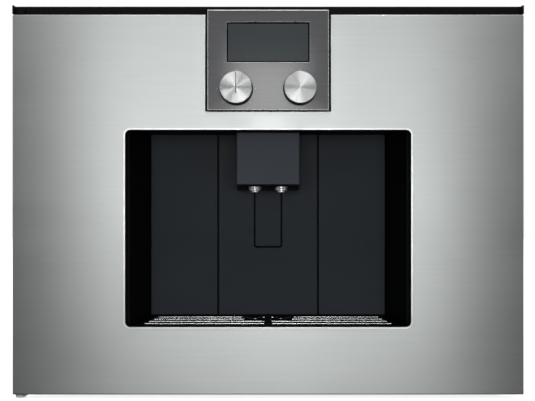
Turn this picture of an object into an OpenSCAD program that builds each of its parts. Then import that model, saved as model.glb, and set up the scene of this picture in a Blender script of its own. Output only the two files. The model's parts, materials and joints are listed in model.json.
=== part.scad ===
// Built-in fully automatic coffee machine, 60 cm wide, with a side-hinged steel door.
// The front faces -Y and the machine stands on its feet at z = 0.
// The origin is the middle of the bottom of the whole machine.

/* [Front] */
// Width of the door and of the frame behind it
front_w = 590; // [580:1:620]
// Height of the dark strip that shows above the door
strip_h = 10.5; // [10:0.5:14]
// How far the strip's face sits behind the door's front
strip_in = 8; // [5:0.5:10]
// Depth of the door
door_t = 20; // [18:0.5:26]
// Air gap between the closed door and the frame
door_gap = 3; // [2.6:0.1:5]
// Thickness of the door's steel skin
skin_t = 1.2; // [0.8:0.1:1.5]
// Wall of the door's moulded liner
liner_t = 2.5; // [2:0.1:3.5]
// Width of the door's steel on each side of the window
stile_w = 130; // [127:0.5:140]
// Height of the window in the door
window_h = 227.5; // [205:0.5:238]
// Height of the window's lower edge above the door's lower edge
window_up = 78; // [66:0.5:88]
// Corner radius of the window
window_r = 6; // [3:0.5:12]
// Width of the polished trim round the window
trim_w = 2.2; // [1.6:0.1:3]

/* [Cabinet body] */
// How far the door reaches past the body on each side
body_inset = 17; // [13:0.5:20]
// Depth of the body behind the cabinet's front edge
body_d = 354; // [340:1:420]
// Thickness of the body's sheet steel
sheet_t = 1; // [0.8:0.1:1.4]
// Thickness of the front frame
frame_t = 3; // [2.6:0.1:4]
// Height of the feet
foot_h = 4; // [3:0.1:8]
// Diameter of the feet
foot_d = 24; // [18:1:32]
// Radius of the holes for the cabinet fixing screws
fixing_r = 2.25; // [2:0.05:2.75]
// Distance up between the cabinet fixing holes
fixing_pitch_z = 330; // [280:1:350]

/* [Cup bay] */
// Depth of the bay, from the door's front to the back panels
bay_depth = 125; // [120:1:150]
// How much the bay narrows on each side towards its back panels
bay_draw = 13; // [8:0.5:21]
// Width of the middle back panel
bay_mid_w = 125.6; // [106:0.4:150]
// Seam between two back panels
bay_seam = 2; // [1:0.1:3]
// Wall of the moulded bay
bay_t = 2.5; // [2:0.1:3]
// Width of the guide channel in the middle back panel
channel_w = 36; // [28:1:56]
// Height of the channel's lower end above the drip grate
channel_up = 85.5; // [65:0.5:100]

/* [Control panel] */
// Width of the control panel
panel_w = 139.5; // [132:0.5:165]
// Height of the control panel
panel_h = 115.5; // [112:0.5:124]
// Height of the control panel's lower edge above the window
panel_up = 22; // [20:0.5:40]
// How far the control panel stands out of the door
panel_proud = 5; // [2:0.5:10]
// Gap between the control panel and the notch in the door
panel_gap = 2.25; // [1.5:0.05:3]
// Width of the display
display_w = 95.5; // [75:0.5:108]
// Height of the display
display_h = 46; // [34:0.5:50]
// Diameter of the rotary knobs
knob_d = 37; // [28:0.5:44]
// How far a knob stands out of the control panel
knob_h = 18; // [14:0.5:26]
// Distance between the two knobs
knob_pitch = 73; // [60:0.5:90]

/* [Coffee outlet] */
// Width of the height-adjustable outlet
outlet_w = 77.6; // [66:0.1:90]
// Distance from the door's front to the outlet's front
outlet_in = 52; // [48:0.5:58]
// How far the outlet slides down
outlet_travel = 85; // [55:1:88]
// Distance between the two spouts
spout_pitch = 32.2; // [26:0.2:42]
// Diameter of a spout's collar
spout_d = 15.8; // [12:0.2:18]
// Height of the spout tips above the drip grate when the outlet is up
spout_up = 155.7; // [140:0.1:162]

/* [Drip tray] */
// Thickness of the dark frame that carries the grate
carrier_t = 3.7; // [3:0.1:6]
// Wall of the drip tray
tray_t = 2.5; // [2:0.1:3]
// Diameter of the grate's bars
bar_d = 2.4; // [2:0.1:5]
// Distance between neighbouring grate bars
bar_pitch = 22; // [18:0.5:22.5]
// Width of the grate's dark spine
spine_w = 9; // [7:0.5:14]

/* [Water tank] */
// Width of the water tank
tank_w = 90; // [70:1:92]
// Depth of the water tank
tank_d = 150; // [120:1:155]
// Height of the water tank
tank_h = 196; // [140:1:200]
// Wall of the water tank
tank_t = 2.4; // [2:0.1:3]
// Largest opening angle of the tank's lid
lid_swing = 35; // [20:1:36]

/* [Brewing column] */
// Width of the brewing unit, bean container and grounds container
unit_w = 70; // [66:1:72]
// Depth of the brewing unit
brew_d = 148; // [138:1:165]
// Height of the brewing unit
brew_h = 142; // [134:1:152]
// Bore of the brewing chamber
chamber_d = 44; // [34:0.5:46]
// Height of the grounds container
grounds_h = 70; // [45:0.5:80]
// Depth of the bean container
hopper_d = 178; // [150:1:200]
// Height of the bean container
hopper_h = 95; // [70:1:104]
// Number of teeth on the grinding cone
burr_teeth = 14; // [8:1:20]

/* [Hidden] */
$fn = 48;

// Depths, from the knobs at the front to the rear panel
front_reach = frame_t + door_gap + door_t + panel_proud + knob_h;
carcass_y = -(body_d - front_reach) / 2;
frame_y = carcass_y - frame_t;
door_back_y = frame_y - door_gap;
door_y = door_back_y - door_t;
fascia_y = door_y - panel_proud;
knob_y = fascia_y - knob_h;
rear_y = carcass_y + body_d;
bay_back_y = door_y + bay_depth;

// Heights
hinge_gap = 1;
roof_gap = 1.5;
bracket_t = 2.5;
frame_rail = 7;
base_z = foot_h;
floor_z = base_z + sheet_t;
door_z = base_z + hinge_gap;
panel_drop = 6;
window_z = door_z + window_up;
window_top_z = window_z + window_h;
panel_z = window_top_z + panel_up;
panel_top_z = panel_z + panel_h;
front_top_z = panel_top_z + panel_drop;
door_top_z = front_top_z - strip_h;
door_h = door_top_z - door_z;
bracket_z = door_top_z + roof_gap;
roof_z = bracket_z + bracket_t;
body_top_z = roof_z + sheet_t;
bay_top_z = window_top_z + 3;
grate_z = window_z;
deck_z = bay_top_z + bay_t + 1;
runner_z = door_z + frame_rail;

// Running clearances
slide_gap = 0.3;
side_gap = 2;

// Half widths across the machine
front_x = front_w / 2;
window_w = front_w - 2 * stile_w;
body_x = front_x - body_inset;
inner_x = body_x - sheet_t;
flange_w = 10;
bay_front_x = window_w / 2 - 2;
bay_back_x = bay_front_x - bay_draw;
bay_rear_t = 3;
partition_x = bay_front_x + 5;

// Parts of the control panel
notch_x = panel_w / 2 + panel_gap;
notch_z = panel_z - 0.5;
panel_back_x = panel_w / 2 - 8;
display_z = panel_top_z - display_h - 14.3;
knob_z = panel_z + knob_d / 2 + 6.3;

// Columns beside the bay
unit_x1 = -(partition_x + sheet_t + side_gap);
unit_x0 = unit_x1 - unit_w;
unit_mid_x = (unit_x0 + unit_x1) / 2;
tank_x0 = partition_x + sheet_t + side_gap;
tank_x1 = tank_x0 + tank_w;
tank_mid_x = (tank_x0 + tank_x1) / 2;
container_y = frame_y + 1;
container_z = runner_z + slide_gap;
brew_shelf_z = container_z + grounds_h + 2;
brew_z = brew_shelf_z + sheet_t + slide_gap;
grinder_shelf_z = brew_z + brew_h + 67;
hopper_z = grinder_shelf_z + sheet_t + slide_gap;
tank_top_z = container_z + tank_h;
outlet_bore_y = carcass_y + 84;
brew_back_y = carcass_y + brew_d;

// Hinge axis, near the door's left front corner
pivot_x = -front_x + 8;
pivot_y = door_y + 6;
pin_r = 2.5;
bush_bore_r = pin_r + 0.05;
bush_r = 4.3;
bush_h = 12;
pin_h = 13;

// Shared small forms
function mirror_x(s) = s > 0 ? 0 : 1;

module box(x0, x1, y0, y1, z0, z1) {
    translate([x0, y0, z0]) cube([x1 - x0, y1 - y0, z1 - z0]);
}

// Rectangle between two corners, with round corners
module round_rect(x0, x1, y0, y1, r) {
    translate([x0 + r, y0]) square([x1 - x0 - 2 * r, y1 - y0]);
    translate([x0, y0 + r]) square([x1 - x0, y1 - y0 - 2 * r]);
    for (x = [x0 + r, x1 - r], y = [y0 + r, y1 - r]) translate([x, y]) circle(r);
}

// An outline drawn in X and Z, given thickness along Y
module upright(y0, y1) {
    translate([0, y1, 0]) rotate([90, 0, 0]) linear_extrude(y1 - y0) children();
}

// An outline drawn in X and Y, given thickness along Z
module slab(z0, z1) {
    translate([0, 0, z0]) linear_extrude(z1 - z0) children();
}

// An outline drawn in Y and Z, given thickness along X
module sideways(x0, x1) {
    translate([x0, 0, 0]) rotate([90, 0, 90]) linear_extrude(x1 - x0) children();
}

module rod_y(x, z, r, y0, y1) {
    translate([x, y1, z]) rotate([90, 0, 0]) cylinder(r = r, h = y1 - y0);
}

module rod_x(y, z, r, x0, x1) {
    translate([x0, y, z]) rotate([0, 90, 0]) cylinder(r = r, h = x1 - x0);
}

module rod_z(x, y, r, z0, z1) {
    translate([x, y, z0]) cylinder(r = r, h = z1 - z0);
}

// A bent pipe through a list of points, with a slight bead at each bend
module pipe(points, r) {
    bead = max(r * 0.05, 0.1);
    for (i = [0 : len(points) - 2]) {
        run = points[i + 1] - points[i];
        turn = atan2(run[1], run[0]);
        tilt = acos(run[2] / norm(run));
        translate(points[i]) rotate([0, tilt, turn]) cylinder(r = r, h = norm(run));
        if (i > 0) translate(points[i]) sphere(r + bead);
    }
}

// Half width of the bay's inside at a depth
function bay_half(y) =
    bay_front_x - (bay_front_x - bay_back_x) * (y - carcass_y) / (bay_back_y - carcass_y);

// Plan of the bay between two depths, drawn in by a gap
module bay_plan(y0, y1, gap) {
    polygon([
        [-bay_half(y0) + gap, y0], [bay_half(y0) - gap, y0],
        [bay_half(y1) - gap, y1], [-bay_half(y1) + gap, y1],
    ]);
}

// Body of folded sheet steel
module base_pan() color("silver") {
    back_y = rear_y - sheet_t;
    box(-inner_x, inner_x, carcass_y, back_y, base_z, floor_z);
    for (s = [-1, 1]) mirror([mirror_x(s), 0, 0])
        box(inner_x - sheet_t, inner_x, carcass_y + sheet_t, back_y - sheet_t, base_z, floor_z + 12);
}

module feet() color("dimgray") {
    for (x = [-body_x + 40, body_x - 40], y = [carcass_y + 75, rear_y - 40]) difference() {
        union() {
            rod_z(x, y, foot_d / 2, 0, base_z - 1);
            rod_z(x, y, foot_d / 2 - 1.5, base_z - 2, base_z);
        }
        rod_z(x, y, 4, -1, 1);
    }
}

louvre_count = 7;
louvre_pitch = 14;

module side_panel(s) color("silver") {
    vent_y = rear_y - 50;
    mirror([mirror_x(s), 0, 0]) difference() {
        union() {
            box(inner_x, body_x, carcass_y, rear_y, base_z, roof_z);
            box(inner_x - flange_w, body_x, carcass_y, carcass_y + sheet_t, floor_z, bracket_z);
            box(inner_x - flange_w, body_x, rear_y - 2 * sheet_t, rear_y - sheet_t, floor_z, roof_z);
        }
        for (i = [0 : louvre_count - 1]) sideways(inner_x - 1, body_x + 1)
            round_rect(vent_y - i * louvre_pitch - 4, vent_y - i * louvre_pitch,
                roof_z - 100, roof_z - 40, 1.9);
    }
}

module side_panel_left() side_panel(-1);
module side_panel_right() side_panel(1);

inlet_x = -body_x + 60;
inlet_z = 60;
inlet_w = 28;
inlet_h = 21;

module rear_panel() color("silver") difference() {
    box(-inner_x, inner_x, rear_y - sheet_t, rear_y, base_z, roof_z);
    for (row = [0 : 2], i = [-8 : 8]) upright(rear_y - 2 * sheet_t, rear_y + 1)
        round_rect(i * louvre_pitch - 2, i * louvre_pitch + 2, roof_z - 80 - row * 56, roof_z - 34 - row * 56, 1.9);
    upright(rear_y - 2 * sheet_t, rear_y + 1)
        round_rect(inlet_x - inlet_w / 2, inlet_x + inlet_w / 2, inlet_z - inlet_h / 2, inlet_z + inlet_h / 2, 2);
}

module top_cover() color("silver") difference() {
    box(-body_x, body_x, carcass_y, rear_y, roof_z, body_top_z);
    for (row = [0 : 1], i = [-8 : 8]) slab(roof_z - 1, body_top_z + 1)
        round_rect(i * louvre_pitch - 2, i * louvre_pitch + 2, rear_y - 70 - row * 56, rear_y - 24 - row * 56, 1.9);
}

// Front frame, with an opening for each thing that is drawn out or reached
switch_x = -body_x + 24;
switch_z = panel_z + 62;
switch_w = 13;
switch_h = 21;
tank_room_z = tank_top_z + sin(lid_swing) * tank_d + 8;
hopper_room_z = hopper_z + hopper_h + 30;

// Seat of the frame's back on the cabinet's edges
seat_in = 1.5;
seat_t = 0.5;

module front_frame() color([0.07, 0.07, 0.07]) difference() {
    union() {
        upright(frame_y, carcass_y) frame_outline();
        top_rail();
        upright(frame_y + 1, carcass_y + seat_t) for (s = [-1, 1]) mirror([mirror_x(s), 0]) difference() {
            translate([body_x + seat_in, door_z + 15])
                square([front_x - body_x - 2 * seat_in, door_h - 30]);
            fixing_holes();
        }
    }
    // Pocket that the catch magnet sits in
    box(magnet_x - 5, magnet_x + 5, frame_y - 1, frame_y + magnet_in, magnet_z - 20, magnet_z + 20);
}

// Strip above the door: a folded rail with a cheek at each end
rail_wall = 2;
rail_clear = 1.5;
rail_y = door_y + strip_in;
rail_z = door_top_z + hinge_gap;

module top_rail() {
    upright(rail_y, rail_y + rail_wall) difference() {
        translate([-front_x, rail_z]) square([front_w, front_top_z - rail_z]);
        // Room for the hinge bracket and for the control panel
        translate([-front_x + rail_wall, rail_z - 1])
            square([pivot_x + ear_r + rail_clear + front_x - rail_wall, roof_z + rail_clear + 1 - rail_z]);
        translate([-notch_x, rail_z - 1]) square([2 * notch_x, panel_top_z + rail_clear + 1 - rail_z]);
    }
    box(-front_x, front_x, rail_y, frame_y + 1, front_top_z - rail_wall, front_top_z);
    for (s = [-1, 1]) mirror([mirror_x(s), 0, 0])
        box(front_x - rail_wall, front_x, door_y, frame_y + 1, rail_z, front_top_z);
}

module fixing_holes() {
    for (s = [-1, 1], t = [-1, 1])
        translate([s * fixing_x, fixing_z + t * fixing_pitch_z / 2]) circle(fixing_r);
}

module frame_outline() difference() {
    translate([-front_x, door_z]) square([front_w, front_top_z - door_z]);
    round_rect(-bay_front_x, bay_front_x, runner_z, bay_top_z, 2);
    round_rect(unit_x0 - side_gap, unit_x1 + side_gap, runner_z, brew_z + brew_h + 3, 2);
    round_rect(unit_x0 - side_gap, unit_x1 + side_gap, hopper_z - 1, hopper_room_z, 2);
    round_rect(tank_x0 - side_gap, tank_x1 + side_gap, runner_z, min(tank_room_z, deck_z - 2), 2);
    round_rect(-panel_back_x, panel_back_x, panel_z + 8, panel_top_z - 8, 2);
    translate([switch_x - switch_w / 2, switch_z - switch_h / 2]) square([switch_w, switch_h]);
    translate([-front_x + 1, bracket_z - 0.5]) square([front_x - body_x + 35, bracket_t + 1]);
    fixing_holes();
}
fixing_x = (front_x + body_x) / 2;
fixing_z = door_top_z - 218.5;

// Sheet partitions and shelves that carry the inner parts
module partitions() color("silver") {
    difference() {
        union() {
            box(-partition_x - sheet_t, -partition_x, carcass_y, rear_y - sheet_t, floor_z, roof_z);
            box(-partition_x - 12, -partition_x, shelf_back_y + 1, rear_y - 12, floor_z, floor_z + sheet_t);
        }
        for (z = [brew_port_z, feed_port_z])
            rod_x(hose_y, z, hose_r + 3, -partition_x - 3, -partition_x + 2);
    }
    difference() {
        union() {
            box(partition_x, partition_x + sheet_t, carcass_y, rear_y - sheet_t, floor_z, deck_z);
            box(partition_x, partition_x + 12, tank_back_y + 30, rear_y - 12, floor_z, floor_z + sheet_t);
        }
        rod_x(hose_y, socket_z, hose_r + 3, partition_x - 2, partition_x + 3);
    }
}

module mid_deck() color("silver") difference() {
    box(-partition_x, inner_x, carcass_y + sheet_t, rear_y - 2 * sheet_t, deck_z, deck_z + sheet_t);
    box(-outlet_w / 2 - 4, outlet_w / 2 + 4, outlet_y - 4, bay_back_y + 4, deck_z - 1, deck_z + 3);
}

// Two shelves: one under the brewing unit, one between the grinder and the beans
shelf_back_y = brew_back_y + 107;

module unit_shelves() color("silver") {
    difference() {
        unit_shelf(brew_shelf_z);
        box(unit_mid_x - 20, unit_mid_x + 20, carcass_y + 12, carcass_y + 110, brew_shelf_z - 1, brew_shelf_z + 3);
    }
    difference() {
        unit_shelf(grinder_shelf_z);
        rod_z(unit_mid_x, outlet_bore_y, 16, grinder_shelf_z - 1, grinder_shelf_z + 3);
    }
}

module unit_shelf(z) {
    box(-inner_x, -partition_x - sheet_t, carcass_y + sheet_t, shelf_back_y, z, z + sheet_t);
    for (x = [-inner_x, -partition_x - 2 * sheet_t])
        box(x, x + sheet_t, carcass_y + sheet_t + 20, shelf_back_y, z - 9, z + sheet_t);
}

runner_w = 10;
runner_x = bay_back_x - 50;

module tray_runners() color("dimgray") {
    for (x = [-runner_x, runner_x]) box(x - runner_w / 2, x + runner_w / 2, carcass_y + 2, bay_back_y - 2, floor_z, runner_z);
    for (x = [unit_x0 + 12, unit_x1 - 12])
        box(x - runner_w / 2, x + runner_w / 2, carcass_y + 2, brew_back_y - 8, floor_z, runner_z);
}

// Platform under the tank, with the socket that its outlet plugs into
tank_back_y = container_y + tank_d;
socket_z = runner_z + 16;
nozzle_r = 6;
nozzle_l = 12;

module tank_platform() color("dimgray") difference() {
    union() {
        box(tank_x0 - 1, inner_x - flange_w, carcass_y + 2, tank_back_y + 2, floor_z, runner_z);
        box(tank_mid_x - 14, tank_mid_x + 14, tank_back_y + 1, tank_back_y + 26, floor_z, socket_z + 14);
    }
    rod_y(tank_mid_x, socket_z, nozzle_r + slide_gap, tank_back_y + 1, tank_back_y + nozzle_l + 3);
    rod_y(tank_mid_x, socket_z, 2.5, tank_back_y + 10, tank_back_y + 30);
    for (i = [0 : 3]) box(tank_x0 + 6, tank_x1 - 6, carcass_y + 12 + i * 34, carcass_y + 40 + i * 34,
        floor_z - 1, runner_z - 2.5);
}

// Hinge brackets, each with its pin
ear_r = 5.5;

module bracket_plan() {
    translate([pivot_x, pivot_y]) circle(ear_r);
    translate([pivot_x - ear_r, pivot_y]) square([2 * ear_r, carcass_y - pivot_y]);
    translate([pivot_x - ear_r, frame_y - 2]) square([34 - body_x - pivot_x + ear_r, frame_t + 2]);
    translate([-inner_x + 0.5, carcass_y]) square([33, 42]);
}

module hinge_brackets() color("silver") {
    slab(bracket_z, bracket_z + bracket_t) bracket_plan();
    rod_z(pivot_x, pivot_y, pin_r, bracket_z - roof_gap - pin_h, bracket_z + 1);
    slab(base_z - bracket_t, base_z) bracket_plan();
    rod_z(pivot_x, pivot_y, pin_r, base_z - 1, door_z + pin_h);
}

magnet_x = front_x - 9;
magnet_z = door_top_z - 178.5;
magnet_in = 1.5;
strike_t = 1;

module catch_magnet() color("dimgray") {
    box(magnet_x - 5, magnet_x + 5, door_back_y + slide_gap, frame_y + magnet_in, magnet_z - 20, magnet_z + 20);
}

module door_buffers() color("dimgray") {
    for (x = [-front_x + 30, front_x - 9], z = [door_z + 22, door_top_z - 22])
        translate([x, frame_y, z]) rotate([90, 0, 0]) cylinder(r1 = 4, r2 = 3, h = door_gap - slide_gap);
}

// Main switch: a rocker on a pin across its housing
rocker_y = frame_y + 6;
rocker_r = 8;
rocker_x = switch_w / 2 - 1.2;

module switch_housing() color([0.1, 0.1, 0.1]) difference() {
    box(switch_x - switch_w / 2, switch_x + switch_w / 2, frame_y, frame_y + 20,
        switch_z - switch_h / 2, switch_z + switch_h / 2);
    box(switch_x - rocker_x - 0.2, switch_x + rocker_x + 0.2, frame_y - 1, frame_y + 16,
        switch_z - switch_h / 2 + 1.2, switch_z + switch_h / 2 - 1.2);
    rod_x(rocker_y, switch_z, 1.05, switch_x - switch_w / 2 + 0.4, switch_x + switch_w / 2 - 0.4);
}

module power_switch() color([0.12, 0.12, 0.12]) {
    sideways(switch_x - rocker_x, switch_x + rocker_x) translate([rocker_y, switch_z]) polygon([
        [-4.6, -rocker_r], [-3.4, 0], [-5.6, rocker_r], [-1, rocker_r], [3, 2], [3, -2], [-1, -rocker_r],
    ]);
    rod_x(rocker_y, switch_z, 1, switch_x - switch_w / 2 + 0.6, switch_x + switch_w / 2 - 0.6);
}

// Control panel
fascia_t = 3;
glass_in = 0.8;

module panel_hole_plan() {
    round_rect(-display_w / 2, display_w / 2, display_z, display_z + display_h, 0.6);
}

module control_fascia() color([0.45, 0.45, 0.46]) difference() {
    upright(fascia_y, fascia_y + fascia_t) round_rect(-panel_w / 2, panel_w / 2, panel_z, panel_top_z, 0.6);
    upright(fascia_y - 1, fascia_y + fascia_t + 1) panel_hole_plan();
    for (s = [-1, 1]) rod_y(s * knob_pitch / 2, knob_z, 4, fascia_y - 1, fascia_y + fascia_t + 1);
}

module display_glass() color([0.2, 0.22, 0.24]) {
    upright(fascia_y + glass_in, fascia_y + fascia_t + 1) round_rect(-display_w / 2, display_w / 2,
        display_z, display_z + display_h, 0.6);
    upright(fascia_y + fascia_t, fascia_y + fascia_t + 5)
        round_rect(-display_w / 2 - 2, display_w / 2 + 2, display_z - 2, display_z + display_h + 2, 1);
}

housing_t = 2;

module control_housing() color([0.1, 0.1, 0.1]) difference() {
    union() {
        box(-panel_w / 2 + 0.6, panel_w / 2 - 0.6, fascia_y + fascia_t, frame_y, panel_z + 0.6, panel_top_z - 0.6);
        upright(frame_y - 1, carcass_y + 18)
            round_rect(-panel_back_x + 0.4, panel_back_x - 0.4, panel_z + 8.4, panel_top_z - 8.4, 2);
    }
    box(-panel_back_x + 3, panel_back_x - 3, fascia_y + fascia_t - 1, carcass_y + 18 - housing_t,
        panel_z + 11, panel_top_z - 11);
}

board_y = fascia_y + fascia_t + 14;

module control_board() color([0.05, 0.3, 0.15]) {
    box(-panel_back_x + 3, panel_back_x - 3, board_y, board_y + 1.6, panel_z + 11, panel_top_z - 11);
    box(-25, 25, board_y + 1, board_y + 6, panel_z + 60, panel_z + 85);
    box(-display_w / 2 + 6, display_w / 2 - 6, fascia_y + fascia_t + 5, board_y + 1, display_z + 6, display_z + display_h - 12);
}

module knob_encoders() color("gray") {
    for (s = [-1, 1]) difference() {
        translate([s * knob_pitch / 2, board_y, knob_z]) rotate([90, 0, 0]) cylinder(r = 7, h = 10);
        rod_y(s * knob_pitch / 2, knob_z, shaft_r + 0.05, board_y - 12, board_y - 2);
    }
}

// Turned knob with a hollow skirt and its own shaft
shaft_r = 3;

module knob(x) {
    translate([x, fascia_y, knob_z]) rotate([90, 0, 0]) rotate_extrude() polygon([
        [0, 2 - fascia_t - 10], [shaft_r, 2 - fascia_t - 10], [shaft_r, 4], [7, 4], [7, knob_h - 5],
        [knob_d / 2 - 2, knob_h - 5], [knob_d / 2 - 2, 0.8], [knob_d / 2, 0.8],
        [knob_d / 2, knob_h - 0.8], [knob_d / 2 - 0.8, knob_h], [0, knob_h],
    ]);
}

pointer_t = 0.5;

module pointer_plan(grow) {
    translate([-knob_pitch / 2 - 0.45 - grow, knob_z - 6.5 - grow])
        square([0.9 + 2 * grow, knob_d / 2 - 1.5 + 6.5 + 2 * grow]);
}

module knob_left() color("silver") difference() {
    knob(-knob_pitch / 2);
    upright(knob_y - 1, knob_y + pointer_t) pointer_plan(0);
}

module knob_left_pointer() color("black") upright(knob_y + 0.1, knob_y + pointer_t) pointer_plan(0);

module knob_right() color("silver") knob(knob_pitch / 2);

// Cup bay
module bay_liner() color([0.03, 0.03, 0.03]) difference() {
    union() {
        slab(floor_z, bay_top_z + bay_t) bay_plan(carcass_y, bay_back_y + bay_rear_t + bay_t, -bay_t);
        box(-partition_x, partition_x, carcass_y, carcass_y + bay_t, floor_z, deck_z);
        box(-outlet_w / 2 - 3, outlet_w / 2 + 3, outlet_y - 3, bay_back_y + 3, bay_top_z, deck_z + 14);
    }
    slab(floor_z - 1, bay_top_z) bay_plan(carcass_y - 5, bay_back_y + bay_rear_t, 0);
    box(-outlet_w / 2 - 0.6, outlet_w / 2 + 0.6, outlet_y - 0.6, bay_back_y + 0.4, bay_top_z - 1, deck_z + 15);
}

module bay_panels_side() color([0.14, 0.15, 0.16]) for (s = [-1, 1]) mirror([mirror_x(s), 0, 0])
    box(bay_mid_w / 2 + bay_seam, bay_half(bay_back_y + bay_rear_t), bay_back_y, bay_back_y + bay_rear_t,
        grate_z, bay_top_z);

channel_z = grate_z + channel_up;
channel_t = 2;

module bay_panel_middle() color([0.14, 0.15, 0.16]) difference() {
    box(-bay_mid_w / 2, bay_mid_w / 2, bay_back_y, bay_back_y + bay_rear_t, grate_z, bay_top_z);
    upright(bay_back_y - 1, bay_back_y + channel_t)
        round_rect(-channel_w / 2, channel_w / 2, channel_z, bay_top_z + 10, 3);
}

// Height-adjustable coffee outlet
outlet_y = door_y + outlet_in;
outlet_back_y = bay_back_y - 0.6;
outlet_wall = 2.5;
spout_tip_z = grate_z + spout_up;
cover_z = spout_tip_z + 9.6;
cover_r = 2;
base_t = 1.8;
neck_r = spout_d / 2 - 2.4;
block_z = spout_tip_z + 3;
outlet_top_z = deck_z + outlet_travel + 6.3;
feed_x = outlet_w / 2 - 14.8;
feed_y = outlet_back_y - 26.4;
feed_r = 3;
spout_y = outlet_y + 15;
spout_bore_r = 2.3;

module outlet_plan(inset) {
    x = outlet_w / 2 - inset;
    r = max(cover_r - inset, 1);
    round_rect(-x, x, outlet_y + inset, outlet_back_y - 12, r);
    translate([-x, outlet_y + 12]) square([2 * x, outlet_back_y - outlet_y - 12]);
}

module outlet_cover() color([0.22, 0.23, 0.26]) difference() {
    slab(cover_z, outlet_top_z) outlet_plan(0);
    slab(cover_z - 1, outlet_top_z + 1) outlet_plan(outlet_wall);
    box(-outlet_w / 2 + outlet_wall, outlet_w / 2 - outlet_wall, outlet_back_y - 10, outlet_back_y + 1,
        cover_z - 1, outlet_top_z + 1);
}

shoe_z = channel_z + outlet_travel + 2;

module outlet_body() color([0.04, 0.04, 0.04]) difference() {
    union() {
        difference() {
            slab(cover_z + 1.5, outlet_top_z - 6) outlet_plan(outlet_wall);
            slab(cover_z + 30, outlet_top_z) outlet_plan(outlet_wall + 3);
        }
        // Black base under the cover, and a foot that is set back from its front
        slab(cover_z - base_t, cover_z) outlet_plan(1);
        slab(cover_z - 1, cover_z + 2) outlet_plan(outlet_wall);
        box(-outlet_w / 2 + 1, outlet_w / 2 - 1, outlet_y + 26, outlet_back_y, block_z, cover_z);
        // Guide shoe that runs in the channel
        box(-channel_w / 2 + slide_gap, channel_w / 2 - slide_gap, outlet_back_y - 1,
            bay_back_y + channel_t - slide_gap, shoe_z, bay_top_z - 4);
        for (s = [-1, 1]) rod_z(s * feed_x, feed_y, feed_r + 3, cover_z + 2, outlet_top_z - 6);
    }
    for (s = [-1, 1]) {
        rod_z(s * feed_x, feed_y, feed_r + slide_gap, cover_z + 8, outlet_top_z + 1);
        rod_z(s * spout_pitch / 2, spout_y, spout_bore_r, cover_z, cover_z + 31);
        rod_z(s * spout_pitch / 2, spout_y, neck_r, cover_z - base_t - 1, cover_z + 1.5);
    }
}

// Turned spouts: a ring with a waist and a narrower tip
module coffee_spouts() color([0.85, 0.85, 0.85]) {
    r = spout_d / 2;
    for (s = [-1, 1]) translate([s * spout_pitch / 2, spout_y, spout_tip_z]) rotate_extrude() polygon([
        [spout_bore_r, 0], [r - 3.4, 0], [r - 3, 0.6], [r - 3, 2.2], [r - 0.4, 2.2], [r, 2.6],
        [r, 4.4], [r - 0.5, 4.9], [r, 5.4], [r, 7.2], [r - 0.4, 7.6], [neck_r, 7.6],
        [neck_r, 11.1], [spout_bore_r, 11.1],
    ]);
}

// Fixed tubes that the outlet slides along, held by a bridge on the deck
feed_top_z = outlet_top_z + 14;

module feed_tubes() color("silver") {
    for (s = [-1, 1]) difference() {
        rod_z(s * feed_x, feed_y, feed_r, outlet_top_z - 20 - outlet_travel, feed_top_z);
        rod_z(s * feed_x, feed_y, feed_r - 0.8, outlet_top_z - 21 - outlet_travel, feed_top_z + 1);
    }
    difference() {
        union() {
            box(-outlet_w / 2 - 14, outlet_w / 2 + 14, feed_y - 8, feed_y + 8, outlet_top_z + 4, outlet_top_z + 8);
            for (s = [-1, 1]) translate([s * (outlet_w / 2 + 11), 0, 0])
                box(-3, 3, feed_y - 8, feed_y + 8, deck_z + sheet_t, outlet_top_z + 5);
        }
        for (s = [-1, 1]) rod_z(s * feed_x, feed_y, feed_r, outlet_top_z, feed_top_z);
    }
}

// Drip tray, tapered like the bay
tray_gap = 2.5;
tray_back_y = bay_back_y - 1;
carrier_z = grate_z - bar_d - carrier_t;
tray_top_z = carrier_z - 0.2;

module drip_tray() color([0.08, 0.08, 0.08]) {
    difference() {
        slab(container_z, tray_top_z) bay_plan(frame_y, tray_back_y, tray_gap);
        slab(container_z + tray_t, tray_top_z + 1)
            bay_plan(frame_y + tray_t, tray_back_y - tray_t, tray_gap + tray_t);
        upright(frame_y - 1, frame_y + 1.5) round_rect(-45, 45, tray_top_z - 28, tray_top_z - 12, 6);
    }
    rod_z(float_x, float_y, post_r, container_z + tray_t, tray_top_z - 3);
}

function grate_half(y) = bay_half(y) - tray_gap - 12;

// Dark frame and spine that carry the wires
module grate_carrier() color([0.05, 0.05, 0.05]) {
    difference() {
        slab(carrier_z, carrier_z + carrier_t) bay_plan(frame_y, tray_back_y, tray_gap);
        slab(carrier_z - 1, carrier_z + carrier_t + 1) bay_plan(frame_y + 9, tray_back_y - 6, tray_gap + 17);
    }
    upright(frame_y + 1, tray_back_y - 1) polygon([
        [-spine_w / 2, carrier_z], [spine_w / 2, carrier_z], [spine_w / 2, grate_z - 0.6],
        [spine_w / 2 - 1.6, grate_z + 1], [-spine_w / 2 + 1.6, grate_z + 1], [-spine_w / 2, grate_z - 0.6],
    ]);
}

bar_z = grate_z - bar_d / 2;
bar_y = door_y + 38;
weld = 0.6;

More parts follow.
